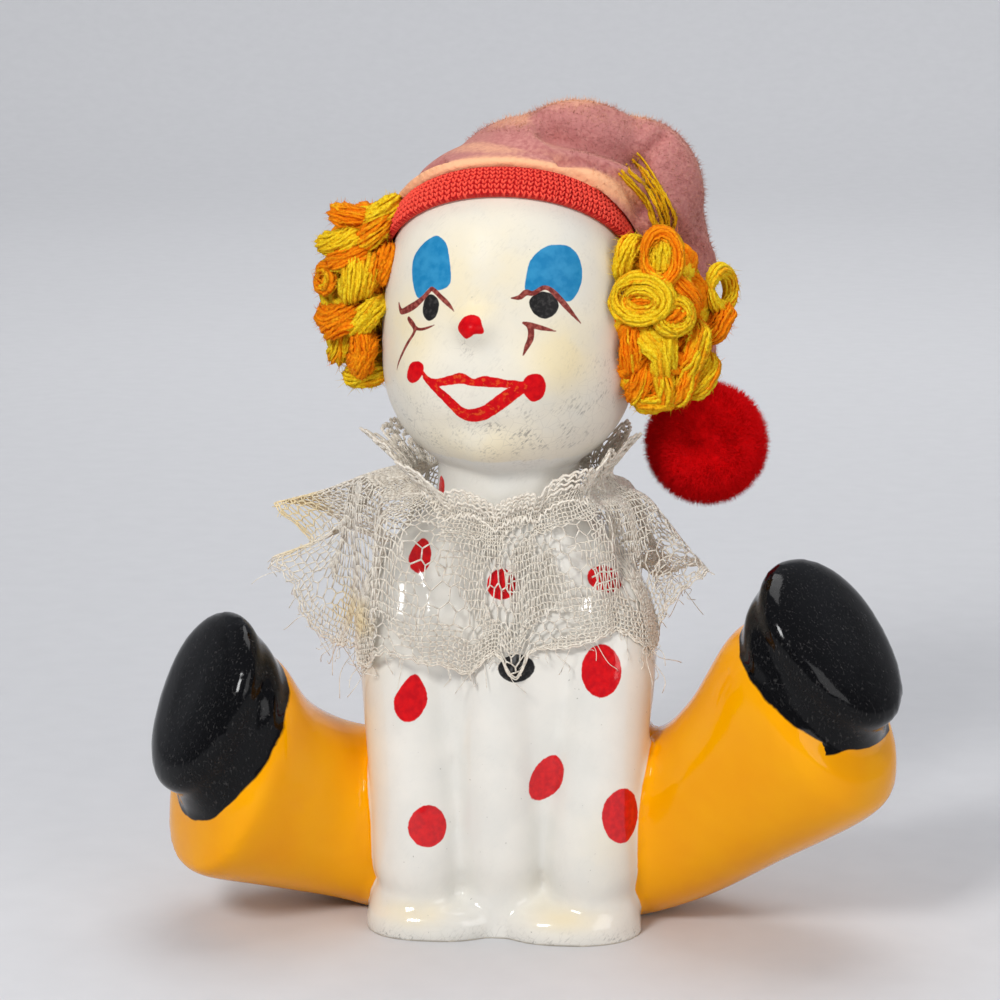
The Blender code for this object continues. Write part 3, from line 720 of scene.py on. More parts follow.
def glaze_finish():
    """White glaze with fired-on colours, cream tints, fine crazing and grime."""
    finish = Finish("glazed ceramic", 0.12, IOR=1.5)
    wobble = finish.varied(finish.noise(0.9, 3.0), 0.5)
    brushed = finish.varied(finish.noise(4.5, 1.0))
    blotch = finish.noise(7.0, 3.0)
    fine = finish.noise(0.5, 3.0)

    white = finish.mix(finish.step(blotch, 0.35, 0.7), (0.74, 0.72, 0.66), (0.80, 0.77, 0.70))
    cream = finish.times(finish.field("cream"), finish.step(blotch, 0.25, 0.6, 0.5, 1.0))
    colour = finish.mix(cream, white, (0.83, 0.71, 0.46))

    streaks = finish.noise(0.30, 4.0, stretch=(1.0, 1.0, 3.2), slant=-0.7)
    patches = finish.step(finish.noise(2.6, 3.0), 0.42, 0.60)
    grime = finish.times(finish.step(streaks, 0.50, 0.66), finish.field("grime"))
    grime = finish.times(grime, patches)
    colour = finish.mix(finish.times(grime, 0.72), colour, (0.20, 0.18, 0.16))
    crazing = finish.times(finish.step(finish.cracks(1.5), 0.035, 0.0), finish.field("grime"))
    colour = finish.mix(finish.times(crazing, 0.28), colour, (0.30, 0.27, 0.23))
    specks = finish.step(finish.noise(0.55, 1.0), 0.775, 0.82)
    colour = finish.mix(finish.times(specks, 0.55), colour, (0.25, 0.22, 0.18))

    def painted(under, field, tone, edge, rough_edge):
        level = finish.plus(finish.field(field), rough_edge)
        return finish.mix(finish.step(level, -edge, edge), under, tone)

    thick = finish.step(finish.noise(9.0, 2.0), 0.3, 0.75)
    yellow = finish.mix(thick, (0.93, 0.385, 0.0), (0.90, 0.345, 0.0))
    colour = painted(colour, "yellow", yellow, 0.08, finish.times(wobble, 0.35))
    red = finish.mix(finish.step(finish.noise(0.8, 4.0), 0.3, 0.72), (0.70, 0.003, 0.006), (0.52, 0.0, 0.005))
    # Orange patches along the lips' middle: partly the paint's own tint, partly a painted highlight
    orange = finish.times(finish.field("lips"), finish.step(finish.noise(0.6, 3.0), 0.52, 0.68))
    red = finish.mix(orange, red, (0.72, 0.075, 0.012))
    colour = painted(colour, "red", red, 0.07, finish.times(wobble, 0.5))
    blue = finish.mix(finish.step(finish.noise(1.4, 3.0), 0.3, 0.7), (0.035, 0.27, 0.50), (0.012, 0.20, 0.42))
    colour = painted(colour, "blue", blue, 0.07, finish.times(wobble, 0.4))
    ink = finish.mix(finish.step(fine, 0.45, 0.7), (0.016, 0.015, 0.015), (0.045, 0.042, 0.040))
    colour = painted(colour, "ink", ink, 0.07, finish.times(wobble, 0.4))
    maroon = finish.mix(finish.step(fine, 0.4, 0.65), (0.17, 0.026, 0.022), (0.34, 0.080, 0.062))
    colour = painted(colour, "maroon", maroon, 0.06, finish.times(wobble, 0.25))

    dust = finish.noise(0.32, 4.0, stretch=(1.0, 1.0, 1.6))
    dusty = finish.times(finish.step(dust, 0.56, 0.74), finish.field("sole"))
    black = finish.mix(dusty, (0.0025, 0.0025, 0.003), (0.035, 0.033, 0.032))
    colour = painted(colour, "black", black, 0.12, brushed)

    bisque = finish.step(finish.field("foot"), 0.2, 0.8)
    colour = finish.mix(bisque, colour, (0.66, 0.60, 0.50))
    finish.colour(colour)

    worn = finish.times(finish.step(dust, 0.45, 0.8), finish.field("sole"))
    gloss = finish.plus(finish.step(blotch, 0.3, 0.8, 0.07, 0.13), finish.times(worn, 0.16))
    gloss = finish.plus(gloss, finish.times(grime, 0.25))
    gloss = finish.plus(gloss, finish.times(finish.field("matt"), 0.26))
    finish.roughness(finish.plus(gloss, finish.times(bisque, 0.6)))
    ripple = finish.plus(finish.times(finish.noise(5.5, 1.0), 0.6),
                         finish.times(finish.noise(0.8, 2.0), 0.07))
    ripple = finish.math("SUBTRACT", ripple, finish.times(specks, 0.05))
    finish.bump(ripple, 0.13)
    coloured = finish.math("MAXIMUM", finish.step(finish.field("black"), -0.1, 0.1),
                           finish.step(finish.field("yellow"), -0.1, 0.1))
    dull = finish.math("MAXIMUM", finish.times(coloured, 0.72), finish.field("matt"))
    finish.set(finish.shader.inputs["Specular IOR Level"], finish.step(dull, 0.0, 1.0, 0.5, 0.10))
    return finish.material


def felt_finish():
    """Brushed felt: dusty pink, worn to peach on its hem roll, with painted light: peach where it faces up
    and on ridges, darker pink in its creases.
    """
    finish = Finish("pink felt", 0.95, Specular_IOR_Level=0.15, Sheen_Weight=0.35, Sheen_Roughness=0.4)
    finish.shader.inputs["Sheen Tint"].default_value = (1.0, 0.62, 0.40, 1.0)
    mottle = finish.noise(0.6, 4.0)
    cloud = finish.noise(6.0, 2.0)
    pink = finish.mix(finish.step(mottle, 0.25, 0.75), (0.43, 0.145, 0.135), (0.60, 0.255, 0.225))
    pink = finish.mix(finish.step(cloud, 0.35, 0.8), pink, (0.48, 0.185, 0.17))
    # The attribute read here holds the hem's peach wear, the painted top light and the painted shade in
    # creases; noise mottles it
    wear_and_light = finish.plus(finish.field("wear_and_light"), finish.varied(mottle, 0.5))
    wear_and_light = finish.plus(wear_and_light, finish.varied(cloud, 0.5))
    colour = finish.mix(finish.step(wear_and_light, 0.0, 1.1), pink, (0.93, 0.49, 0.27))
    finish.colour(colour)
    finish.bump(finish.plus(finish.noise(0.3, 4.0), finish.noise(0.9, 3.0)), 0.12)
    return finish.material


def knit_finish():
    finish = Finish("coral knit", 0.9, Specular_IOR_Level=0.15)
    depth = finish.field("depth")
    fibres = finish.noise(0.14, 3.0)
    lit = finish.mix(finish.step(fibres, 0.3, 0.7), (0.92, 0.060, 0.036), (1.0, 0.135, 0.085))
    # Painted shade: the low parts between stitches are painted dark red, the raised stitches take the lit
    # colour
    finish.colour(finish.mix(finish.step(depth, 0.15, 0.65), (0.40, 0.006, 0.008), lit))
    finish.bump(fibres, 0.05)
    return finish.material


def chenille_finish():
    finish = Finish("red chenille", 0.95, Specular_IOR_Level=0.04)
    tone = finish.plus(finish.field("tone"), finish.varied(finish.noise(1.2, 3.0)))
    finish.colour(finish.mix(finish.step(tone, 0.0, 1.0), (0.86, 0.0, 0.002), (1.0, 0.008, 0.012)))
    finish.bump(finish.noise(0.2, 3.0), 0.08)
    return finish.material


def yarn_finish():
    """Variegated yarn: orange and yellow lengths, with fine fibres."""
    finish = Finish("yellow yarn", 0.9, Specular_IOR_Level=0.12)
    tone = finish.plus(finish.field("tone"), finish.varied(finish.noise(1.6, 3.0), 0.7))
    fibre = finish.step(finish.noise(0.28, 4.0), 0.3, 0.7)
    yellow = finish.mix(fibre, (0.80, 0.46, 0.0), (0.97, 0.72, 0.03))
    orange = finish.mix(fibre, (0.85, 0.18, 0.0), (0.98, 0.33, 0.005))
    colour = finish.mix(finish.step(tone, 0.2, 0.8), yellow, orange)
    shade = finish.field("shade")
    finish.colour(finish.mix(finish.times(shade, 0.5), colour, (0.56, 0.19, 0.0)))
    finish.bump(finish.noise(0.16, 3.0), 0.09)
    return finish.material


def lace_finish():
    """Cotton lace, greyed, with ecru stains."""
    finish = Finish("cotton lace", 0.9, Sheen_Weight=0.2)
    stain = finish.plus(finish.field("stain"), finish.varied(finish.noise(4.0, 3.0), 0.8))
    grey = finish.mix(finish.step(finish.noise(0.4, 3.0), 0.3, 0.7), (0.76, 0.68, 0.57), (0.95, 0.89, 0.78))
    finish.colour(finish.mix(finish.step(stain, 0.3, 0.9), grey, (0.88, 0.72, 0.43)))
    finish.bump(finish.noise(0.12, 2.0), 0.04)
    return finish.material


# The glazed figure

def figure_skin():
    """Fine skin of the casting, cut flat on the floor, finest where the face is painted."""
    mesh = melted([torso, arms_and_hands, head_form, legs, shoes], GLAZE_VOXEL, 8)
    everything = mesh.verts[:] + mesh.edges[:] + mesh.faces[:]
    bmesh.ops.bisect_plane(mesh, geom=everything, plane_co=(0, 0, 0), plane_no=(0, 0, 1), clear_inner=True)
    bmesh.ops.holes_fill(mesh, edges=[edge for edge in mesh.edges if edge.is_boundary])
    for across_limit, low, high in ((20.0, 66.0, 99.0), (16.0, 70.5, 97.0)):
        points = np.array([vert.co for vert in mesh.verts])
        across, height = face_chart(points)
        front = (np.abs(across) < across_limit) & (height > low) & (height < high)
        front &= (points[:, 1] < 0) & (egg_level(points) > 0.9)
        if across_limit < 20.0:
            front &= painted_region(across, height)
        mesh.verts.index_update()
        edges = [edge for edge in mesh.edges if all(front[vert.index] for vert in edge.verts)]
        bmesh.ops.subdivide_edges(mesh, edges=edges, cuts=1, use_grid_fill=True)
    return mesh


def painted_region(across, height):
    """True near the eyes, the tears, the nose and the mouth."""
    boxes = ((-14.0, -2.2, 77.0, 96.6), (4.3, 16.4, 80.2, 96.0),
             (-3.2, 2.2, 82.0, 87.0), (-11.2, 10.4, 71.2, 80.2))
    near = np.zeros(across.shape, bool)
    for left, right, low, high in boxes:
        near |= (across > left) & (across < right) & (height > low) & (height < high)
    return near


def snapped_to_egg(points):
    """Moves the head's points exactly onto its egg."""
    level = egg_level(points)
    share = smoothstep(65.5, 69.0, points[:, 2]) * (np.abs(level - 1.0) < 0.08)
    exact = HEAD_CENTRE + (points - HEAD_CENTRE) / level[:, None]
    return points + (exact - points) * share[:, None]


def face_lift(points):
    """How far the face's relief lifts points of the egg."""
    across, height = face_chart(points)
    front = (points[:, 2] > HEAD_FROM) & (egg_level(points) < 1.2)
    outward = points - HEAD_CENTRE
    outward[:, 2] *= 0.3
    outward = unit(outward)
    return outward * (spots(across, height, FACE_BUMPS) * front)[:, None]


def distances_to(forms, points, wanted):
    """Distance from wanted points to the forms' surfaces; far for the others."""
    mesh = form_mesh(forms)
    tree = BVHTree.FromBMesh(mesh)
    mesh.free()
    far = np.full(len(points), 99.0)
    for index in np.flatnonzero(wanted):
        far[index] = tree.find_nearest(Vector(points[index]))[3]
    return far


def paint_fields(mesh, points):
    """All painted areas of the figure, as distances inside their edges."""
    across, height = face_chart(points)
    on_face = (points[:, 1] < 2.0) & (points[:, 2] > 68.0)
    x, y, z = points.T
    low = z < HEAD_FROM
    outer = low & (np.abs(x) > TROUSERS_FROM)
    body = distances_to([torso, arms_and_hands], points, outer)
    trousers = distances_to([legs], points, outer)
    boots = distances_to([shoes], points, low & (np.abs(x) > SHOES_FROM))
    seat_top = 15.5 + 1.2 * np.sin(0.35 * x + 0.6) + 0.6 * np.sin(0.9 * x)
    seat = np.minimum((seat_top - z), (y - 4.0) * 0.8)
    yellow = np.where(outer, (body - trousers) / 2 + 0.3, OUTSIDE)
    yellow = np.where(low, np.maximum(yellow, seat), OUTSIDE)
    black = np.where(outer & (boots < 90.0), trousers - boots + 0.5, OUTSIDE)
    black = np.where(x < -36.0, np.maximum(black, np.minimum(1.7 - boots, z - LOWER_BLACK_FROM)), black)
    black = np.where(x > 44.0, np.maximum(black, np.minimum(1.5 - boots, z - RAISED_BLACK_FROM)), black)
    black = np.minimum(black, shoe_paint_limit(points))

    tree = BVHTree.FromBMesh(mesh)
    red = np.full(len(points), OUTSIDE)
    for dots, facing in ((FRONT_DOTS, -1.0), (BACK_DOTS, 1.0)):
        for dot in dots:
            red = np.maximum(red, dot_field(tree, points, dot, facing))
    ink = dot_field(tree, points, BUTTON, -1.0)

    near = np.flatnonzero(on_face)
    u, v = across[near], height[near]

    def drawn(outlines, strokes=()):
        field = np.full(len(near), OUTSIDE)
        for outline in outlines:
            field = np.maximum(field, outline_field(outline, u, v))
        for stroke in strokes:
            field = np.maximum(field, stroke_field(stroke, u, v))
        whole = np.full(len(points), OUTSIDE)
        whole[near] = field
        return whole

    lips = drawn((), LIPS)
    return {
        "yellow": yellow,
        "black": black,
        "red": np.maximum(red, np.maximum(lips, drawn((NOSE_PAINT, *MOUTH_CORNERS)))),
        # the lips' middle, where their orange tint and painted highlight go
        "lips": np.clip(lips * 4.0, 0.0, 1.0),
        "blue": drawn(EYE_SHADOWS),
        "ink": np.maximum(ink, drawn(PUPILS)),
        "maroon": drawn((), LASHES + TEARS),
        "cream": cream_tint(points, across, height),
        "grime": grime_cover(z, across, height),
        "sole": np.clip(black, 0.0, 1.0),
        "foot": (z < 0.15).astype(float),
        "matt": smoothstep(60.0, 66.0, z),
    }


def shoe_paint_limit(points):
    """Distance over the level line where the black stops on the raised shoe's heel, and a worn chip."""
    facing = np.array(tilted_axes(*RAISED_SHOE[1:])[0])
    out = (points - np.array(RAISED_SHOE[0])) @ facing
    over = points[:, 2] - RAISED_BLACK_FROM + 0.3 * np.sin(0.9 * points[:, 0])
    limit = np.where((out < -2.6) & (points[:, 0] > 0.0), over, 9.0)
    chip = np.linalg.norm(points - np.array([-30.4, -14.6, 38.4]), axis=1) - 0.8
    return np.minimum(limit, chip)


# Warm tint of the glaze on the cheeks, brow, nose and neck, and on the hands and sides; and dirt on
# the chin and along the jaw, and darker streaks under the nose: rows for spots()
CREAM_FACE = ((-10.5, 82.5, 0.9, 4.6, 5.5), (11.5, 80.5, 0.9, 5.0, 5.0), (0.0, 92.0, 0.6, 8.5, 6.0),
              (-1.0, 87.0, 0.55, 3.2, 2.4), (0.0, 68.5, 0.55, 9.0, 3.4))
CREAM_BODY = ((-11.5, 3.6, 0.8, 5.0, 1.6), (9.5, 3.6, 0.8, 5.0, 1.6), (-18.0, 26.0, 0.35, 2.5, 16.0),
              (15.5, 14.0, 0.35, 4.0, 5.0))
GRIME_FACE = ((6.0, 70.0, 0.9, 9.0, 3.4), (-1.2, 81.8, 0.9, 1.6, 1.1), (-12.0, 70.5, 0.7, 5.0, 4.0),
              (17.0, 74.0, 0.5, 5.0, 6.0))


def cream_tint(points, across, height):
    x, y, z = points.T
    face = (0.22 + spots(across, height, CREAM_FACE)) * (z > 66.0)
    return np.clip((face + spots(x, z, CREAM_BODY)) * (y < 0.0), 0.0, 1.0)


def grime_cover(z, across, height):
    """Where dirt and darker streaks sit: on the face, and along the bottom edge."""
    base = 0.9 * bell(z, 0.0, 1.3) + 0.03
    return np.clip(np.where(z > HEAD_FROM, spots(across, height, GRIME_FACE) + 0.1, base), 0.0, 1.0)


def build_figure():
    mesh = figure_skin()
    points = snapped_to_egg(np.array([vert.co for vert in mesh.verts]))
    fields = paint_fields(mesh, points)
    points = points + face_lift(points)
    for vert, point in zip(mesh.verts, points * SHARE):
        vert.co = point
    bmesh.ops.recalc_face_normals(mesh, faces=mesh.faces)
    data = bpy.data.meshes.new("figure_glazed")
    mesh.to_mesh(data)
    mesh.free()
    figure = finished("figure_glazed", data, glaze_finish(), fields)
    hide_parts("figure")
    return figure


# The cap

# Creases and ridges of the felt: points on it, half width, and how far they press in
CAP_FOLDS = (
    (((-14.4, -0.2, 101.6), (-12.0, -3.8, 104.0), (-6.3, -7.2, 106.4), (-1.3, -9.0, 106.8),
      (6.3, -8.4, 106.2), (11.3, -6.2, 105.0), (14.7, -5.2, 103.4), (16.8, -4.0, 101.4), (18.8, -2.7, 98.2)),
     1.0, 1.9),
    (((6.0, -3.4, 109.2), (8.2, -4.5, 108.6), (10.9, -4.8, 108.2), (14.4, -4.1, 107.1), (17.6, -2.0, 105.6)),
     1.8, 2.6),
    (((3.8, -0.5, 110.4), (7.5, 0.6, 112.1), (11.1, 0.6, 112.0), (13.9, 1.4, 111.3), (17.7, 3.3, 109.8),
      (19.8, 1.7, 108.6)), 1.5, -0.5),
    (((3.6, -3.0, 109.4), (4.6, -5.4, 107.4), (7.3, -6.5, 105.9), (11.3, -6.4, 105.3), (15.8, -4.8, 103.7),
      (18.1, -3.1, 101.9)), 1.2, -0.8),
    (((21.0, 1.7, 108.0), (19.5, -0.4, 106.9), (18.8, -1.5, 105.6), (18.9, -2.5, 103.0), (19.7, -2.6, 100.5)),
     0.9, 1.2),
    (((22.1, 2.2, 107.5), (24.6, 2.2, 104.2), (25.8, 6.0, 97.9)), 2.0, -0.4),
)
HEM_ROLL = 0.6


def cap_form(mesh):
    """Felt stocking cap: it hugs the head above its rim, bags over, folds aside and hangs down."""
    felt = FIT_GAP + FELT_THICKNESS
    top = cap_top()
    rim = BAND_WIDTH + FIT_GAP
    angles = math.tau * np.arange(72) / 72
    rings = []
    for row in range(17):
        share = row / 16
        height = rim + (top - rim) * math.sin(math.pi / 2 * share)
        rings.append(rim_points(angles, np.full(72, min(height, top * 0.999)), felt) + BAND_UP * felt * share)
    skin(mesh, rings)
    blob(mesh, (3.4, 3.6, 97.6), (13.6, 14.0, 13.2))
    blob(mesh, (9.0, 4.1, 101.0), (11.6, 11.6, 11.8))
    blob(mesh, (16.8, 5.9, 100.6), (9.4, 9.0, 9.8))
    round_tube(mesh, [(18.0, 7.0, 99.0, 7.6), (21.2, 9.0, 93.0, 6.0), (23.4, 10.5, 86.0, 4.6),
                      (25.0, 11.2, 79.5, 3.2), (26.2, 10.8, POMPOM_HIGH[2] + FIT_GAP + 0.4, 2.3)])


def cap_top():
    return float(egg_reach(BAND_ORIGIN[None], BAND_UP[None])[0])


def band_cutter(mesh):
    """The band's space and a gap round it, for cutting the felt."""
    around, up = 96, 3
    angles = np.broadcast_to(math.tau * np.arange(around) / around, (up + 1, around))
    shares = np.arange(up + 1) / up
    heights = np.broadcast_to((BAND_WIDTH * shares)[:, None], angles.shape)
    swell = BAND_THICKNESS * (0.8 + 0.2 * np.sin(math.pi * shares))[:, None]
    outside = rim_points(angles, heights, FIT_GAP + swell + FIT_GAP)
    inside = rim_points(angles, heights, 0.0)
    wall(mesh, [*outside, *inside[::-1]], closed=True)


def curve_distance(points, curve):
    """Distance from points to a smooth curve through given points."""
    nearest = np.full(len(points), 1e9)
    for place in curve_through(curve, 8):
        nearest = np.minimum(nearest, np.linalg.norm(points - place, axis=1))
    return nearest


def build_cap():
    mesh = melted([cap_form], FELT_VOXEL, 24, (lambda form: head_form(form, FIT_GAP), band_cutter))
    mesh.normal_update()
    points, triangles = arrays_of(mesh)
    normals = np.array([vert.normal for vert in mesh.verts])
    mesh.free()
    outer = egg_level(points) > 1.06
    tree = BVHTree.FromPolygons([Vector(point) for point in points], triangles.tolist())
    press = np.zeros(len(points))
    for curve, width, depth in CAP_FOLDS:
        laid = [tree.find_nearest(Vector(place))[0] for place in curve]
        press += depth * np.exp(-(curve_distance(points, laid) / width) ** 2)
    rim = (points - BAND_ORIGIN) @ BAND_UP
    press -= HEM_ROLL * bell(rim, BAND_WIDTH + 1.1, 1.1)
    points = points - normals * (press * outer)[:, None]
    # Peach where the hem roll is worn, and painted light: felt facing up is painted peach as if lit from
    # above, raised ridges lighter and pressed creases darker pink as painted shade
    wear_and_light = 1.3 * bell(rim, BAND_WIDTH + 0.8, 1.8) * smoothstep(1.26, 1.16, egg_level(points))
    wear_and_light += (0.55 * smoothstep(0.86, 1.0, normals[:, 2] - 0.05 * normals[:, 0])
              - 0.45 * np.clip(press, -0.1, 1.2))
    fields = {"wear_and_light": np.clip(wear_and_light, -0.5, 1.0)}
    felt = felt_finish()
    cap = mesh_object("cap_felt", points, triangles, felt, fields)
    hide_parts("hat")

    chance = np.random.default_rng(SEED)
    places, outward, chosen = scatter(points, triangles, NAP_FIBRES, chance)
    keep = egg_level(places) > 1.1
    places, outward, chosen = places[keep], outward[keep], chosen[keep]
    lean = unit(outward + 0.9 * chance.normal(size=places.shape))
    length = 0.25 + 0.9 * chance.random((len(places), 1)) ** 1.5
    nap_points, nap_faces = spikes(places - 0.05 * outward, places + lean * length, 0.035)
    # The nap carries the felt's wear and painted light, a little more peach
    nap_fields = {"wear_and_light": np.repeat(fields["wear_and_light"][triangles[chosen, 0]] + 0.25, 4)}
    nap = mesh_object("cap_nap", nap_points, nap_faces, felt, nap_fields)
    return cap, nap


# The knitted band

STITCH_WIDTH = 0.74
STITCH_HEIGHT = 0.78


def build_band():
    around, up = BAND_GRID
    angles = np.broadcast_to(math.tau * np.arange(around) / around, (up + 1, around))
    shares = np.broadcast_to((np.arange(up + 1) / up)[:, None], angles.shape)
    stitches = round(math.tau * HEAD_HALF_WIDTH / STITCH_WIDTH)
    column = angles / math.tau * stitches
    row = shares * BAND_WIDTH / STITCH_HEIGHT + 0.12 * np.sin(3 * angles)
    column = column + 0.10 * np.sin(1.7 * row + 5.0 * angles) + 0.07 * np.sin(31.0 * angles)
    row = row + 0.13 * np.sin(1.9 * np.floor(column) + 4.0 * np.sin(17.0 * angles))
    across = column % 1.0 - 0.5
    climb = row % 1.0
    depth = np.zeros(angles.shape)
    for way in (-1, 1):
        for shift in (-1.0, 0.0, 1.0):
            reach = climb + shift
            centre = way * (0.06 + 0.30 * reach)
            leg_height = np.exp(-((across - centre) / 0.14) ** 2) * np.exp(-((reach - 0.5) / 0.47) ** 4)
            depth = np.maximum(depth, leg_height)
    edge = np.minimum(smoothstep(0.0, 0.05, shares), smoothstep(1.0, 0.95, shares))
    swell = BAND_THICKNESS * (0.72 + 0.2 * np.sin(math.pi * shares)) + 0.5 * (depth - 0.5) * edge
    outside = rim_points(angles, BAND_WIDTH * shares, FIT_GAP + swell)
    inner_shares = np.broadcast_to(np.array([[0.0], [0.5], [1.0]]), (3, around))
    inside = rim_points(angles[:3], BAND_WIDTH * inner_shares, FIT_GAP)
    points = np.vstack([outside.reshape(-1, 3), inside[::-1].reshape(-1, 3)])
    rows = up + 1 + 3
    corner = np.arange(rows * around).reshape(rows, around)
    above = np.roll(corner, -1, axis=0)
    faces = np.stack([corner, np.roll(corner, -1, axis=1), np.roll(above, -1, axis=1), above], -1)
    # depth is the stitches' relief and also sets their painted shade; the band's inner side is half shaded
    fields = {"depth": np.concatenate([depth.ravel(), np.full(3 * around, 0.4)])}
    band = mesh_object("band_knit", points, faces.reshape(-1, 4), knit_finish(), fields)
    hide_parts("hat_band")
    return band


# The pompom

def build_pompom():
    chance = np.random.default_rng(SEED + 1)
    directions, triangles = ball(5)
    lumps = sum(np.sin(directions @ chance.normal(0, 5, 3) + chance.uniform(0, 6)) for _ in range(7)) / 7
    points = POMPOM_CENTRE + directions * (POMPOM_RADIUS - 0.9 + 0.35 * lumps)[:, None]
    outward = unit(chance.normal(size=(POMPOM_FIBRES, 3)))
    roots = POMPOM_CENTRE + outward * (POMPOM_RADIUS - 1.3)
    lean = unit(outward + 0.42 * chance.normal(size=outward.shape))
    length = chance.uniform(1.1, 1.95, (len(outward), 1))
    fibre_points, fibre_faces = spikes(roots, roots + lean * length, 0.085)
    tone = np.repeat(chance.uniform(0.35, 1.1, len(outward)), 4)
    points, faces, fields = merged([
        (points, triangles, {"tone": np.full(len(points), 0.5)}),
        (fibre_points, fibre_faces, {"tone": tone})])
    pompom = mesh_object("pompom_chenille", points, faces, chenille_finish(), fields)
    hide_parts("pompom")
    return pompom


# Yarn hair

# How far the tufts' bodies reach across
RIGHT_SPAN = (13.6, 27.6)
LEFT_SPAN = (-25.9, -13.2)

# Yarn by its use: half thickness of a lock, strands, loose fibres, and how much its ends darken
LOCK_YARN = (1.6, 20, 420, 0.6)
RING_YARN = (1.0, 13, 420, 0.2)
FILL_YARN = (1.5, 9, 130, 0.9)
STRAY_YARN = (0.14, 3, 50, 0.9)

# Turn from one filling lock to the next, which spreads them evenly
GOLDEN_TURN = 2.39996

# Locks of a tuft: middle x, y, z, half length, turn of its way from level, bow, tone from yellow to orange
RIGHT_LOCKS = (
    (16.7, -9.0, 92.9, 2.8, 75.0, 0.3, 0.1), (23.9, -9.6, 88.9, 4.4, -48.0, 0.2, 0.95),
    (17.4, -10.0, 80.9, 3.3, 80.0, 0.5, 0.85), (22.3, -10.5, 80.4, 3.4, 85.0, -0.3, 0.15),
    (26.2, -9.0, 80.6, 3.6, 70.0, -0.5, 0.55), (18.4, -9.2, 76.2, 2.6, 62.0, 0.5, 0.85),
    (21.8, -9.4, 75.6, 2.4, 95.0, 0.1, 0.35), (24.6, -8.8, 76.0, 2.8, 74.0, -0.4, 0.6),
    (20.8, -8.6, 73.6, 2.6, 8.0, -0.5, 0.25), (27.4, -6.5, 76.6, 3.0, 60.0, -0.6, 0.25),
    (29.2, -3.5, 83.2, 2.6, 50.0, -0.9, 0.95), (21.6, -10.0, 93.0, 2.0, 85.0, 0.0, 0.1),
    (19.4, -11.0, 87.0, 2.4, -4.0, 0.0, 0.95), (23.2, -11.3, 85.6, 1.0, 10.0, 0.0, 0.95),
)

# Rings of a tuft: middle x, y, z, half width, half height, lean, tone
RIGHT_RINGS = (
    (21.4, -11.0, 93.2, 2.1, 3.2, 8.0, 0.95), (18.9, -12.2, 87.8, 3.6, 2.6, -8.0, 0.1),
    (19.1, -12.4, 87.5, 2.2, 1.4, -8.0, 0.3), (23.2, -12.2, 85.6, 1.9, 1.7, 0.0, 0.35),
    (29.2, -2.5, 88.0, 3.0, 2.5, 0.0, 0.05),
)
LEFT_LOCKS = (
    (-20.9, -4.0, 97.9, 2.6, -10.0, 0.6, 0.9), (-16.3, -4.5, 98.3, 2.6, 35.0, 0.2, 0.15),
    (-17.3, -5.5, 95.8, 3.2, 50.0, 0.1, 0.85), (-22.3, -5.5, 94.8, 3.0, 10.0, 0.8, 0.05),
    (-21.0, -6.0, 92.3, 2.8, 12.0, 0.4, 0.9), (-20.4, -7.0, 89.3, 3.0, 78.0, 0.4, 0.1),
    (-17.8, -6.5, 89.6, 3.1, 65.0, -0.4, 0.3), (-15.7, -5.8, 91.2, 2.4, 75.0, -0.2, 0.9),
    (-22.4, -6.0, 84.8, 2.9, 5.0, 0.7, 0.85), (-21.6, -6.5, 82.9, 2.8, 25.0, -0.3, 0.9),
    (-18.0, -6.5, 83.9, 3.3, 48.0, -0.5, 0.1), (-19.7, -6.5, 79.5, 2.6, 80.0, 0.6, 0.85),
    (-18.3, -6.3, 78.6, 2.6, 75.0, -0.6, 0.9), (-22.6, -3.6, 80.0, 2.2, 60.0, 0.6, 0.15),
    (-18.9, -4.0, 75.6, 2.5, 8.0, -0.5, 0.2),
)
LEFT_RINGS = (
    (-24.3, -4.5, 89.2, 1.2, 1.3, 0.0, 0.7),
)


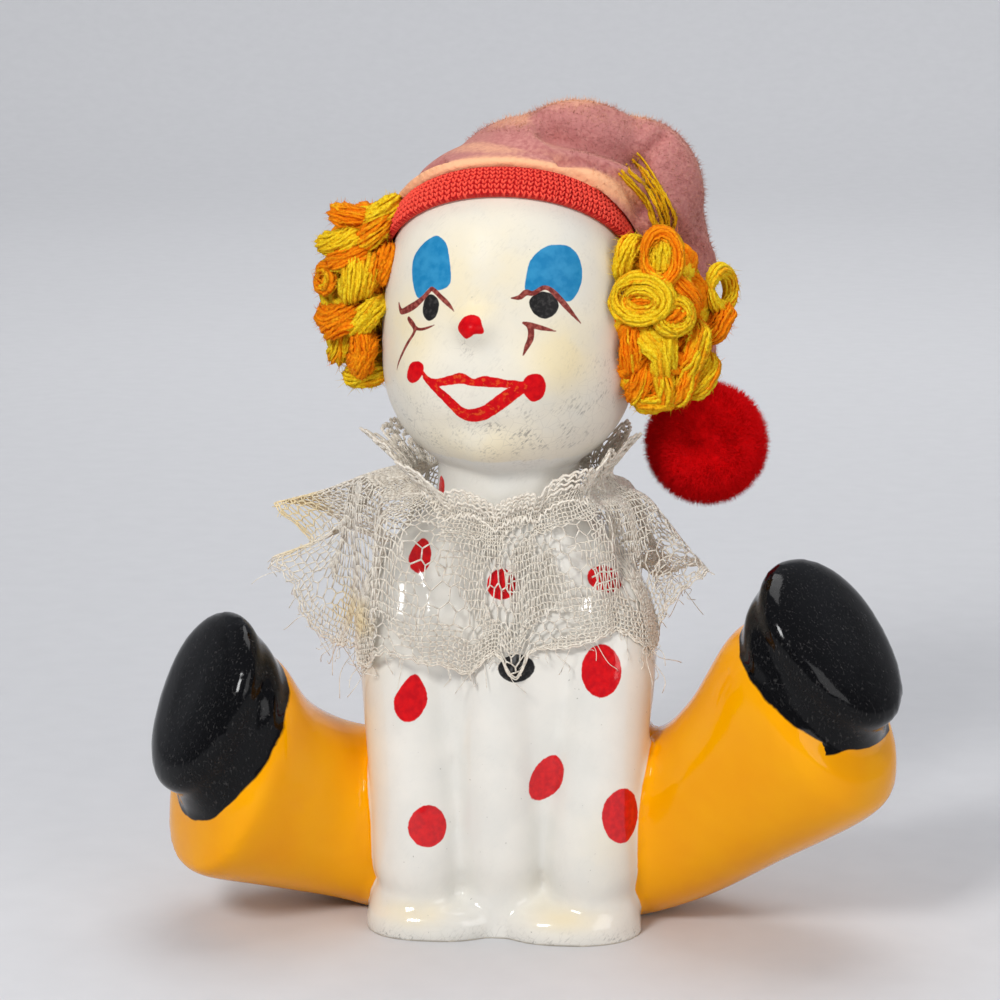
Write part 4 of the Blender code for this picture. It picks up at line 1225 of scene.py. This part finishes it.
def soft_lock(path, plane, tone, chance, thickness, strands, fibres, shade_span):
    """One lock of soft yarn: strands laid side by side round a core, with loose fibres on them."""
    steps = len(path)
    sides = 8
    along = np.linspace(0.0, 1.0, steps)
    ends = np.minimum(smoothstep(-0.02, 0.2, along), smoothstep(1.02, 0.8, along))
    radius = thickness * (0.5 + 0.5 * ends)
    points, faces = tubes(path[None], 0.84 * radius[None], plane, sides)
    shades = shade_span * (1.0 - ends)
    core_fields = {"tone": np.full(steps * sides, tone), "shade": np.repeat(shades, sides) * 0.7 + 0.2}
    parts = [(points, faces, core_fields)]

    ahead = unit(np.gradient(path, axis=0))
    side = unit(np.cross(ahead, plane))
    other = np.cross(ahead, side)
    first = (math.tau * (np.arange(strands) + chance.uniform(-0.25, 0.25, strands)) / strands)[:, None]
    phase = chance.uniform(0.0, 6.0, (2, strands, 1))
    turn = first + chance.uniform(-1.6, 1.6) * along + 0.22 * np.sin(5.0 * along + phase[0])
    spread = radius * (0.87 + 0.09 * np.sin(7.0 * along + phase[1]))
    outward = side * np.cos(turn)[..., None] + other * np.sin(turn)[..., None]
    paths = path + outward * spread[..., None] + chance.normal(0.0, 0.055, (strands, steps, 3))
    strand_radius = 4.1 * thickness / strands * (0.6 + 0.4 * ends)
    points, faces = tubes(paths, strand_radius, plane, 3)
    tones = tone + chance.normal(0.0, 0.24, (strands, 1)) + 0.14 * np.sin(4.0 * along + phase[0])
    parts.append((points, faces, {"tone": np.repeat(tones.ravel(), 3),
                                  "shade": np.repeat(np.tile(shades, strands), 3)}))

    chosen = chance.integers(0, strands, fibres)
    spot = chance.integers(1, steps - 1, fibres)
    roots = paths[chosen, spot] + outward[chosen, spot] * 0.1
    way = np.where(chance.random(fibres) < 0.5, -1.0, 1.0)[:, None]
    lean = unit(ahead[spot] * way + 0.5 * chance.normal(size=(fibres, 3)) + 0.35 * outward[chosen, spot])
    length = 0.4 + 1.3 * chance.random((fibres, 1)) ** 1.6
    points, faces = spikes(roots, roots + lean * length, 0.05)
    fibre_tones = tones[chosen, spot] + chance.normal(0.0, 0.12, fibres)
    parts.append((points, faces, {"tone": np.repeat(fibre_tones, 4), "shade": np.repeat(shades[spot], 4)}))
    return merged(parts)


def arch(lock, level, upward, steps, bend):
    """Bowed line of a lock in the plane of level and upward, and its share from end to end."""
    x, y, z, half_length, turn_deg, bow, _ = lock
    turn = math.radians(turn_deg)
    along = level * math.cos(turn) + upward * math.sin(turn)
    across = -level * math.sin(turn) + upward * math.cos(turn)
    share = np.linspace(-1.0, 1.0, steps)[:, None]
    path = np.array([x, y, z]) + along * share * half_length + across * bow * (1 - share ** 2) * bend
    return path, share


def bar_path(lock, centre, radii):
    """A fat arch of yarn on the tuft's front, its ends tucked in."""
    outward = unit((np.array(lock[:3]) - centre) / radii ** 2)
    view = unit(outward * 0.5 + np.array([0.0, -0.5, 0.0]))
    level = -unit(np.cross(np.array([0.0, 0.0, 1.0]), view))
    path, share = arch(lock, level, -np.cross(level, view), 22, 1.2)
    dive = -0.55 * lock[3] * np.abs(share) ** 3 + 0.5 * (1 - share ** 2)
    return path + outward * dive, outward


def ring_path(lock, centre, radii):
    """A loop of yarn seen open, lying on the tuft's front."""
    x, y, z, half_width, half_height, lean_deg, _ = lock
    middle = np.array([x, y, z])
    outward = unit((middle - centre) / radii ** 2 * 0.6 + np.array([0.0, -0.08, 0.0]))
    level = -unit(np.cross(np.array([0.0, 0.0, 1.0]), outward))
    upward = -np.cross(level, outward)
    turn = np.linspace(-0.3, math.tau - 0.1, 34)[:, None] + math.radians(lean_deg)
    path = middle + level * half_width * np.cos(turn) + upward * half_height * np.sin(turn)
    return path - outward * 0.5 * np.linspace(-1.0, 1.0, 34)[:, None] ** 4, outward


def build_tuft(name, node, span, locks, rings, first_turn, fill_count, strays=()):
    """A tuft of yarn: the loops that show in front, more of them all round, and stray ends.

    span is how far the tuft's body reaches to the left and to the right.
    """
    chance = np.random.default_rng(SEED + len(locks))
    low, high = (np.array(corner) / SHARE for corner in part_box(node))
    low[0], high[0] = span
    centre = (low + high) / 2
    radii = (high - low) / 2 - 1.0
    parts = []
    for rows, way, yarn in ((locks, bar_path, LOCK_YARN), (rings, ring_path, RING_YARN)):
        for row in rows:
            path, plane = way(row, centre, radii)
            parts.append(soft_lock(path, plane, row[-1], chance, *yarn))
    for index in range(fill_count):
        level = (index + 0.5) / fill_count * 2 - 1
        width = math.sqrt(1 - level ** 2)
        turn = first_turn + index * GOLDEN_TURN
        direction = np.array([width * math.cos(turn), width * math.sin(turn), level])
        middle = centre + radii * direction * 0.86
        if egg_level(middle) < 1.02:
            continue
        lock = (*middle, chance.uniform(2.4, 3.6), chance.uniform(0, 180), chance.uniform(-0.8, 0.8), 0.0)
        path, plane = fill_path(lock, centre, radii)
        tone = float(index % 2) * 0.8 + 0.1
        parts.append(soft_lock(path, plane, tone, chance, *FILL_YARN))
    directions, triangles = ball(4)
    parts.append((centre + directions * radii * 0.74, triangles,
                  {"tone": np.full(len(directions), 0.6), "shade": np.full(len(directions), 0.9)}))
    parts.extend(strays)
    points, faces, fields = merged(parts)
    tuft = mesh_object(name, points, faces, yarn_finish(), fields)
    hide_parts(node)
    return tuft


def strands_over_cap(cap):
    """The tied ends of the right tuft, laid over the felt."""
    chance = np.random.default_rng(SEED + 2)
    tree = BVHTree.FromPolygons([vert.co / SHARE for vert in cap.data.vertices],
                                [tuple(face.vertices) for face in cap.data.polygons])
    strands = []
    for index in range(6):
        apart = 1.6 * (index - 2.5) + chance.uniform(-0.4, 0.4)
        bend = chance.uniform(-0.25, 0.25)
        places = curve_through([
            (16.6 + 0.34 * apart + chance.uniform(-0.4, 0.4),
             104.4 + 0.3 * apart + chance.uniform(-0.6, 0.6)),
            (18.2 + 0.34 * apart, 102.9 + 0.24 * apart), (19.6 + 0.38 * apart + bend, 101.2 + 0.16 * apart),
            (20.6 + 0.42 * apart, 99.2), (21.2 + 0.40 * apart - bend, 97.2), (21.4 + 0.3 * apart, 95.6)], 5)
        path = []
        for x, z in places:
            place = tree.ray_cast(Vector((x, -60.0, z)), Vector((0.0, 1.0, 0.0)))[0]
            path.append(np.array(place if place else path[-1]) - np.array([0.0, 0.5, 0.0]))
        tone = chance.uniform(-0.1, 0.3)
        plane = np.array([0.0, -1.0, 0.1])
        points, faces, fields = soft_lock(np.array(path), plane, tone, chance, *STRAY_YARN)
        fields["shade"] = np.maximum(fields["shade"], 0.75)
        strands.append((points, faces, fields))
    return strands


def fill_path(lock, centre, radii):
    """An arch of yarn anywhere on the tuft, square to its surface."""
    outward = unit((np.array(lock[:3]) - centre) / radii ** 2)
    level = unit(np.cross(np.array([0.05, 0.1, 1.0]), outward))
    path, share = arch(lock, level, np.cross(outward, level), 18, 1.4)
    return path + outward * (0.5 - 2.2 * share ** 2), outward


# The lace collar

LACE_AROUND = 200.0
LACE_ROWS_AT = (0.0, 4.0, 6.5, 10.0, 16.0, 23.5)
LACE_DEPTH = LACE_ROWS_AT[-1]
COLLAR_FOLDS = 13
FOLD_DEPTH = 2.2
NET_PITCH = 1.75
NET_THREAD = 0.125
LADDER_PITCH = 0.60
LADDER_STEP = 0.72
LADDER_THREAD = 0.125
PLAIN_FROM = 62.0

# Cords along the top edge: mm below it, sway and half thickness; and how deep their braid is
EDGE_CORDS = ((0.0, 0.04, 0.19), (0.55, 0.10, 0.17), (1.15, 0.12, 0.17), (1.8, 0.12, 0.18), (3.5, 0.25, 0.16))
EDGE_BRAID = 1.9

# Where the lace lies round the neck: mm along it from the front's middle, and turn; it is gathered
# more at the sides and the back
LACE_ALONG = (0.0, 15.0, 24.0, 100.0)
LACE_TURNS = (0.0, 0.78, 1.14, math.pi)

# Where the gathers stand off the shoulder's front: middle turn and half width
LOOSE_TURN = -0.68
LOOSE_WIDTH = 0.32

# The hem as it hangs: turn in degrees, height and reach from the neck's axis
HEM_ROWS = (
    (-184.0, 46.8, 22.4), (-150.0, 46.0, 22.8), (-130.0, 48.0, 25.0), (-116.0, 52.8, 33.0),
    (-110.0, 53.6, 36.0), (-104.0, 49.8, 31.0), (-97.0, 47.6, 37.6), (-92.0, 44.0, 32.5), (-85.0, 38.6, 25.0),
    (-72.0, 36.0, 21.6), (-53.0, 37.2, 20.0), (-42.0, 38.4, 19.5), (-24.0, 37.6, 18.0), (-15.0, 36.8, 17.0),
    (-4.0, 38.8, 16.0), (2.0, 38.6, 16.0), (7.5, 36.6, 16.0), (12.5, 36.8, 16.2), (17.0, 38.9, 16.9),
    (22.0, 39.8, 17.5), (37.0, 40.6, 19.0), (52.0, 41.4, 20.0),
    (62.0, 39.8, 20.6), (75.0, 41.0, 22.4), (84.0, 47.0, 26.2), (92.0, 48.6, 25.6), (105.0, 46.4, 23.4),
    (140.0, 46.0, 22.6), (184.0, 46.8, 22.4),
)

# Open windows of net in the front's close work: ends of each, along and down, and half width
WINDOWS = (
    (3.0, 7.8, 7.0, 6.4, 1.9), (9.6, 9.6, 16.5, 9.2, 1.4), (-10.0, 13.0, -4.2, 16.6, 1.3),
    (-1.4, 12.4, 0.8, 14.4, 2.1), (1.3, 10.6, 2.4, 9.2, 1.1), (-15.8, 18.6, -12.6, 20.6, 2.5),
    (4.4, 21.0, 11.0, 18.2, 2.3), (-4.8, 8.3, -4.5, 8.3, 0.75), (-11.9, 8.4, -11.0, 11.0, 1.7),
    (13.0, 11.5, 15.5, 13.5, 1.2), (-20.5, 8.0, -19.5, 14.5, 1.6), (21.0, 9.0, 23.5, 16.0, 1.3),
    (2.6, 20.6, 4.2, 23.5, 1.9),
)


def lace_turn(along):
    return np.sign(along) * np.interp(np.abs(along), LACE_ALONG, LACE_TURNS)


def body_reaches():
    """How far the tunic reaches from the neck's axis, by turn and height, with its grooves bridged."""
    mesh = form_mesh([torso, arms_and_hands])
    tree = BVHTree.FromBMesh(mesh)
    mesh.free()
    reaches = np.zeros((len(BODY_TURNS), len(BODY_HEIGHTS)))
    for row, turn in enumerate(BODY_TURNS):
        outward = Vector((math.sin(turn), -math.cos(turn), 0.0))
        for column, height in enumerate(BODY_HEIGHTS):
            place = tree.ray_cast(Vector((0.0, 0.0, height)) + outward * 60.0, -outward)[0]
            reaches[row, column] = math.hypot(place.x, place.y)
    for _ in range(4):
        padded = np.pad(reaches, ((1, 1), (0, 0)), mode="edge")
        reaches = np.maximum(reaches, 0.5 * (padded[:-2] + padded[2:]))
    return reaches


def body_reach(turn, height):
    """Reach of the tunic at turns and heights, from its table."""
    row = np.clip(np.interp(turn, BODY_TURNS, np.arange(len(BODY_TURNS))), 0.0, len(BODY_TURNS) - 1.001)
    column = np.clip(np.interp(height, BODY_HEIGHTS, np.arange(len(BODY_HEIGHTS))), 0.0,
                     len(BODY_HEIGHTS) - 1.001)
    i, j = row.astype(int), column.astype(int)
    u, v = row - i, column - j
    table = BODY_REACHES
    return ((1 - u) * ((1 - v) * table[i, j] + v * table[i, j + 1])
            + u * ((1 - v) * table[i + 1, j] + v * table[i + 1, j + 1]))


BODY_TURNS = np.radians(np.linspace(-75.0, 75.0, 31))
BODY_HEIGHTS = np.linspace(34.0, 62.0, 29)
BODY_REACHES = body_reaches()


def lace_surface(along, fall, lift=0.0):
    """Points of the lace: mm along it from the front's middle, and down from the frill's top edge."""
    turn = lace_turn(along)
    front = np.maximum(0.0, np.cos(turn)) ** 2
    side = np.abs(np.sin(turn))
    left = np.maximum(0.0, -np.sin(turn)) ** 2
    still = np.zeros(len(turn))
    off = bell(turn, LOOSE_TURN, LOOSE_WIDTH)
    degrees, heights, reaches = curve_through(HEM_ROWS, 6).T
    hem_height = np.interp(np.degrees(turn), degrees, heights)
    hem_reach = np.interp(np.degrees(turn), degrees, reaches)
    rows = np.array([
        [68.0 - 7.4 * front, 14.4 + 3.0 * side + 1.6 * left - 1.6 * front, 0.5 + still],
        [62.6 - 5.4 * front, 12.6 + 1.2 * side - 0.9 * front, 0.25 + still],
        [60.4 - 5.2 * front + 1.0 * left,
         14.2 + 0.8 * side + 1.4 * left - 2.2 * front + 1.7 * off, 0.35 + still],
        [58.2 - 5.8 * front + 1.6 * left,
         16.2 + 1.6 * side + 2.2 * left - 3.2 * front + 3.8 * off, 0.65 + still],
        [0.38 * (58.2 - 5.8 * front + 1.6 * left) + 0.62 * hem_height,
         17.6 + 0.55 * (hem_reach - 18.6) + 4.0 * off, 0.9 + still],
        [hem_height, hem_reach + 2.0 * off, 0.6 + still],
    ])
    row = np.interp(fall, LACE_ROWS_AT, np.arange(6.0))
    index = np.clip(row.astype(int), 0, 4)
    pick = np.arange(len(turn))
    four = [rows[np.clip(index + shift, 0, 5), :, pick] for shift in (-1, 0, 1, 2)]
    height, radius, wave = catmull_rom(*four, (row - index)[:, None]).T
    phase = COLLAR_FOLDS * turn + 0.9 * np.sin(2 * turn + 0.5) + 0.6 * np.sin(3 * turn)
    wave = wave * np.maximum(0.12 + 0.88 * smoothstep(0.75, 0.25, np.cos(turn)), 0.62 * off)
    radius = radius + FOLD_DEPTH * wave * (np.cos(phase) + 0.4 * np.cos(2.6 * phase + 1.0))
    height = height + FOLD_DEPTH * wave * 0.45 * np.sin(phase + 1.0)
    resting = body_reach(turn, height) + 0.55 + 0.3 * np.sin(0.9 * along) * np.sin(0.7 * fall)
    resting = resting + 1.6 * smoothstep(5.0, 0.0, fall)
    radius = radius + (resting - radius) * smoothstep(0.62, 0.86, np.cos(turn)) * (1.0 - off)
    radius = np.where(np.abs(turn) < 1.3, np.maximum(radius, body_reach(turn, height) + 0.4), radius)
    radius = radius + lift
    return np.stack([radius * np.sin(turn), -radius * np.cos(turn), height], -1)


def hem_fall(along):
    """Depth of the lace along its scalloped hem."""
    leaves = 1.05 * np.cos(math.tau * (along + 5.0) / 15.5) + 2.2 * bell(along, 3.3, 2.4)
    return LACE_DEPTH - 1.4 + leaves + 0.22 * np.sin(math.tau * along / 1.6)


def top_fall(along):
    """Start of the lace along its scalloped top edge, with picots."""
    scallops = 2.0 * np.abs(np.sin(math.pi * (along + 1.0) / 10.5)) ** 0.7
    return 2.3 - scallops + 0.22 * np.sin(math.tau * along / 1.4)


def close_work(along, fall):
    """Positive in the closely worked parts of the lace, negative in its windows of net."""
    field = np.full(along.shape, 9.0)
    for ax, ay, bx, by, half_width in WINDOWS:
        field = np.minimum(field, segment_distance(along, fall, ax, ay, bx, by)[0] - half_width)
    phase = math.tau * along / 26.0
    aside = smoothstep(24.0, 30.0, np.abs(along))
    open_share = smoothstep(-30.0, -24.0, along)
    trail = np.abs(fall - 12.0 - 3.0 * np.sin(phase)) - 0.5 - 0.7 * open_share
    pool = np.hypot((along % 26.0 - 13.0) / 1.7, fall - 18.0) - 1.9 - 0.7 * open_share
    field = np.minimum(field, 9.0 + (np.minimum(trail, pool) - 9.0) * aside)
    plain = smoothstep(PLAIN_FROM, PLAIN_FROM + 6.0, np.abs(along))
    leaf = 3.0 + 2.0 * np.cos(phase) - np.abs(fall - 14.0)
    border = 6.5 - fall
    return np.where(plain > 0.5, np.maximum(leaf, border), field)


def wavered(along, fall, amount):
    """Threads lie a little out of line."""
    return (along + amount * np.sin(2.1 * fall + 1.3 * along) + 0.6 * amount * np.sin(5.3 * along + fall),
            fall + amount * np.sin(1.7 * along + 0.9 * fall) + 0.6 * amount * np.sin(4.1 * fall + along))


def net_threads():
    """Ends of the net's threads: hexagons, as rows of along and fall."""
    columns = int(LACE_AROUND / NET_PITCH)
    pitch = LACE_AROUND / columns
    rise = pitch * 1.5 / math.sqrt(3.0)
    edge = pitch / math.sqrt(3.0)
    column, row = np.meshgrid(np.arange(columns), np.arange(int(LACE_DEPTH / rise) + 2))
    along = ((column + 0.5 * (row % 2)) * pitch - LACE_AROUND / 2).ravel()
    fall = (row * rise).ravel()
    top = np.stack([along, fall - edge / 2], -1)
    low = np.stack([along, fall + edge / 2], -1)
    first = np.vstack([top, low, low])
    second = np.vstack([low, np.stack([along + pitch / 2, fall + edge], -1),
                        np.stack([along - pitch / 2, fall + edge], -1)])
    return first, second


def ladder_threads():
    """Ends of the close work's threads: swaying uprights and short rungs, leaning at the sides."""
    columns = int(LACE_AROUND / LADDER_PITCH)
    pitch = LACE_AROUND / columns
    column, row = np.meshgrid(np.arange(columns), np.arange(int(LACE_DEPTH / LADDER_STEP) + 1))
    along = (column * pitch - LACE_AROUND / 2).ravel()
    fall = (row * LADDER_STEP).ravel()
    lean = 0.22 * smoothstep(8.0, 24.0, along) - 0.16 * smoothstep(-8.0, -24.0, along)
    sway = 0.11 * (-1.0) ** (row + column).ravel()
    here = np.stack([along + sway - lean * (fall - 12.0), fall], -1)
    below = np.stack([along - sway - lean * (fall + LADDER_STEP - 12.0), fall + LADDER_STEP], -1)
    beside = here + np.stack([pitch - 2.0 * sway, 0.10 + 0.0 * fall], -1)
    return np.vstack([here, here]), np.vstack([below, beside])


def loose_threads(chance, count):
    """Frayed ends along the hem, some long and curled."""
    along = chance.uniform(-LACE_AROUND / 2, LACE_AROUND / 2, count)
    roots = lace_surface(along, hem_fall(along))
    share = np.linspace(0.0, 1.0, 9)[None, :, None]
    outward = unit(roots * np.array([1.0, 1.0, 0.0]))[:, None]
    length = 1.0 + 4.0 * chance.random((count, 1, 1)) ** 2
    drift = chance.normal(0.0, 0.4, (count, 1, 3)) + np.array([0.0, 0.0, -0.8])
    curl = chance.normal(0.0, 0.55, (count, 1, 3))
    paths = roots[:, None] + length * share * (drift + 0.3 * outward)
    paths = paths + curl * np.sin(share * chance.uniform(3.0, 8.0, (count, 1, 1))) * 0.7
    return tubes(paths, 0.062, np.array([0.4, 0.5, 0.77]), 3)


def build_collar():
    chance = np.random.default_rng(SEED + 3)
    parts = []
    for (first, second), dense in ((net_threads(), False), (ladder_threads(), True)):
        middle = (first + second) / 2
        field = close_work(middle[:, 0], middle[:, 1])
        keep = (middle[:, 1] < hem_fall(middle[:, 0])) & (middle[:, 1] > top_fall(middle[:, 0]))
        keep &= (np.abs(middle[:, 0]) < LACE_AROUND / 2) & ((field > -0.1) if dense else (field < 0.25))
        keep &= (middle[:, 1] > top_fall(middle[:, 0]) + EDGE_BRAID) | (not dense)
        ends = []
        for place in (first[keep], second[keep]):
            along, fall = wavered(place[:, 0], place[:, 1], 0.10)
            ends.append(lace_surface(along, np.clip(fall, 0.0, LACE_DEPTH)))
        paths = np.stack(ends, axis=1)
        radius = (LADDER_THREAD if dense else NET_THREAD) * chance.uniform(0.8, 1.15, (len(paths), 1))
        points, faces = tubes(paths, radius, np.array([0.21, 0.13, 0.97]), 3)
        parts.append((points, faces, {}))

    full = np.linspace(-LACE_AROUND / 2, LACE_AROUND / 2, 1000)
    for offset, swing, thickness in EDGE_CORDS:
        fall = top_fall(full) + offset + swing * (1.0 + np.sin(full * math.tau / 1.3 + 3.0 * offset))
        path = lace_surface(full, fall, 0.12)
        points, faces = tubes(path[None], thickness, np.array([0.0, 0.0, 1.0]), 4)
        parts.append((points, faces, {}))
    for inset in (0.0, 0.6):
        path = lace_surface(full, hem_fall(full) - inset, 0.05)
        points, faces = tubes(path[None], 0.13, np.array([0.3, 0.2, 0.93]), 3)
        parts.append((points, faces, {}))
    points, faces = loose_threads(chance, LACE_LOOSE_ENDS)
    parts.append((points, faces, {}))

    points, faces, _ = merged(parts)
    places, outward, _ = scatter(points, faces, LACE_FUZZ, chance)
    lean = unit(outward + 0.8 * chance.normal(size=places.shape))
    length = chance.uniform(0.2, 0.6, (len(places), 1))
    fuzz_points, fuzz_faces = spikes(places, places + lean * length, 0.025)
    points, faces, _ = merged([(points, faces, {}), (fuzz_points, fuzz_faces, {})])
    x, _, z = points.T
    stain = bell(x, -33.0, 8.0) * smoothstep(42.0, 54.0, z)
    stain += 0.8 * bell(x, -21.0, 5.0) * bell(z, 43.0, 4.5)
    stain += 0.35 * bell(x, -2.0, 10.0) * bell(z, 43.0, 5.0)
    lace = mesh_object("lace_collar", points, faces, lace_finish(), {"stain": np.clip(stain, 0.0, 1.0)})
    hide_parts("collar")
    return lace


# Floor, light and camera

CAMERA_DISTANCE = 0.400
CAMERA_TURN_DEG = 6.0
CAMERA_RISE_DEG = 11.0
CAMERA_TARGET = Vector((-0.00096, -0.0001, 0.0581))
CAMERA_LENS = 104.35


def build_stage():
    floor = Finish("pale floor", 0.75)
    floor.colour(floor.mix(floor.noise(6.0, 4.0), (0.62, 0.62, 0.63), (0.67, 0.67, 0.68)))
    profile = curve_through([(0.001, 0.0), (0.5, 0.0), (0.9, 0.0), (1.25, 0.05), (1.5, 0.3), (1.6, 0.9)], 6)
    turns = math.tau * np.arange(96) / 96
    rows = [np.stack([radius * np.cos(turns), radius * np.sin(turns), height + 0.0 * turns], -1)
            for radius, height in profile]
    points = np.vstack(rows) / SHARE
    corner = np.arange(len(points)).reshape(len(rows), 96)
    after = np.roll(corner, -1, axis=1)
    faces = np.stack([corner[:-1], after[:-1], after[1:], corner[1:]], -1).reshape(-1, 4)
    mesh_object("floor", points, faces, floor.material)

    world = bpy.data.worlds.new("studio")
    world.use_nodes = True
    world.node_tree.nodes["Background"].inputs["Color"].default_value = (0.86, 0.90, 1.0, 1.0)
    world.node_tree.nodes["Background"].inputs["Strength"].default_value = 0.37
    bpy.context.scene.world = world
    for name, place, size, power in (
            ("key", (-0.20, -0.48, 0.40), 0.14, 2.3), ("fill", (0.50, -0.50, 0.30), 0.4, 1.2),
            ("top", (0.05, 0.15, 0.75), 0.45, 2.2), ("backdrop", (0.0, 0.6, 0.9), 0.8, 6.0)):
        light = bpy.data.lights.new(name, "AREA")
        light.energy = power
        light.size = size
        lamp = placed(name, light)
        lamp.location = place
        target = Vector((0.0, 1.6, 0.3)) if name == "backdrop" else Vector((0.0, 0.0, 0.06))
        lamp.rotation_euler = (Vector(place) - target).to_track_quat("Z", "Y").to_euler()


def build_camera():
    back = tilted_axes(CAMERA_TURN_DEG, CAMERA_RISE_DEG)[0]
    lens = bpy.data.cameras.new("camera")
    lens.lens = CAMERA_LENS
    lens.sensor_width = 36.0
    lens.clip_start = 0.01
    camera = placed("camera", lens)
    camera.location = CAMERA_TARGET + back * CAMERA_DISTANCE
    camera.rotation_euler = back.to_track_quat("Z", "Y").to_euler()
    bpy.context.scene.camera = camera
    bpy.context.scene.view_settings.view_transform = "Standard"


build_camera()
build_stage()
figure = build_figure()
cap, nap = build_cap()
band = build_band()
pompom = build_pompom()
hair_left = build_tuft("yarn_left", "hair_left", LEFT_SPAN, LEFT_LOCKS, LEFT_RINGS, 0.4, 30)
hair_right = build_tuft("yarn_right", "hair_right", RIGHT_SPAN, RIGHT_LOCKS, RIGHT_RINGS, 1.1, 34,
                        strands_over_cap(cap))
collar = build_collar()
for piece in (figure, cap, nap, band, pompom, hair_left, hair_right, collar):
    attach(piece, "root")
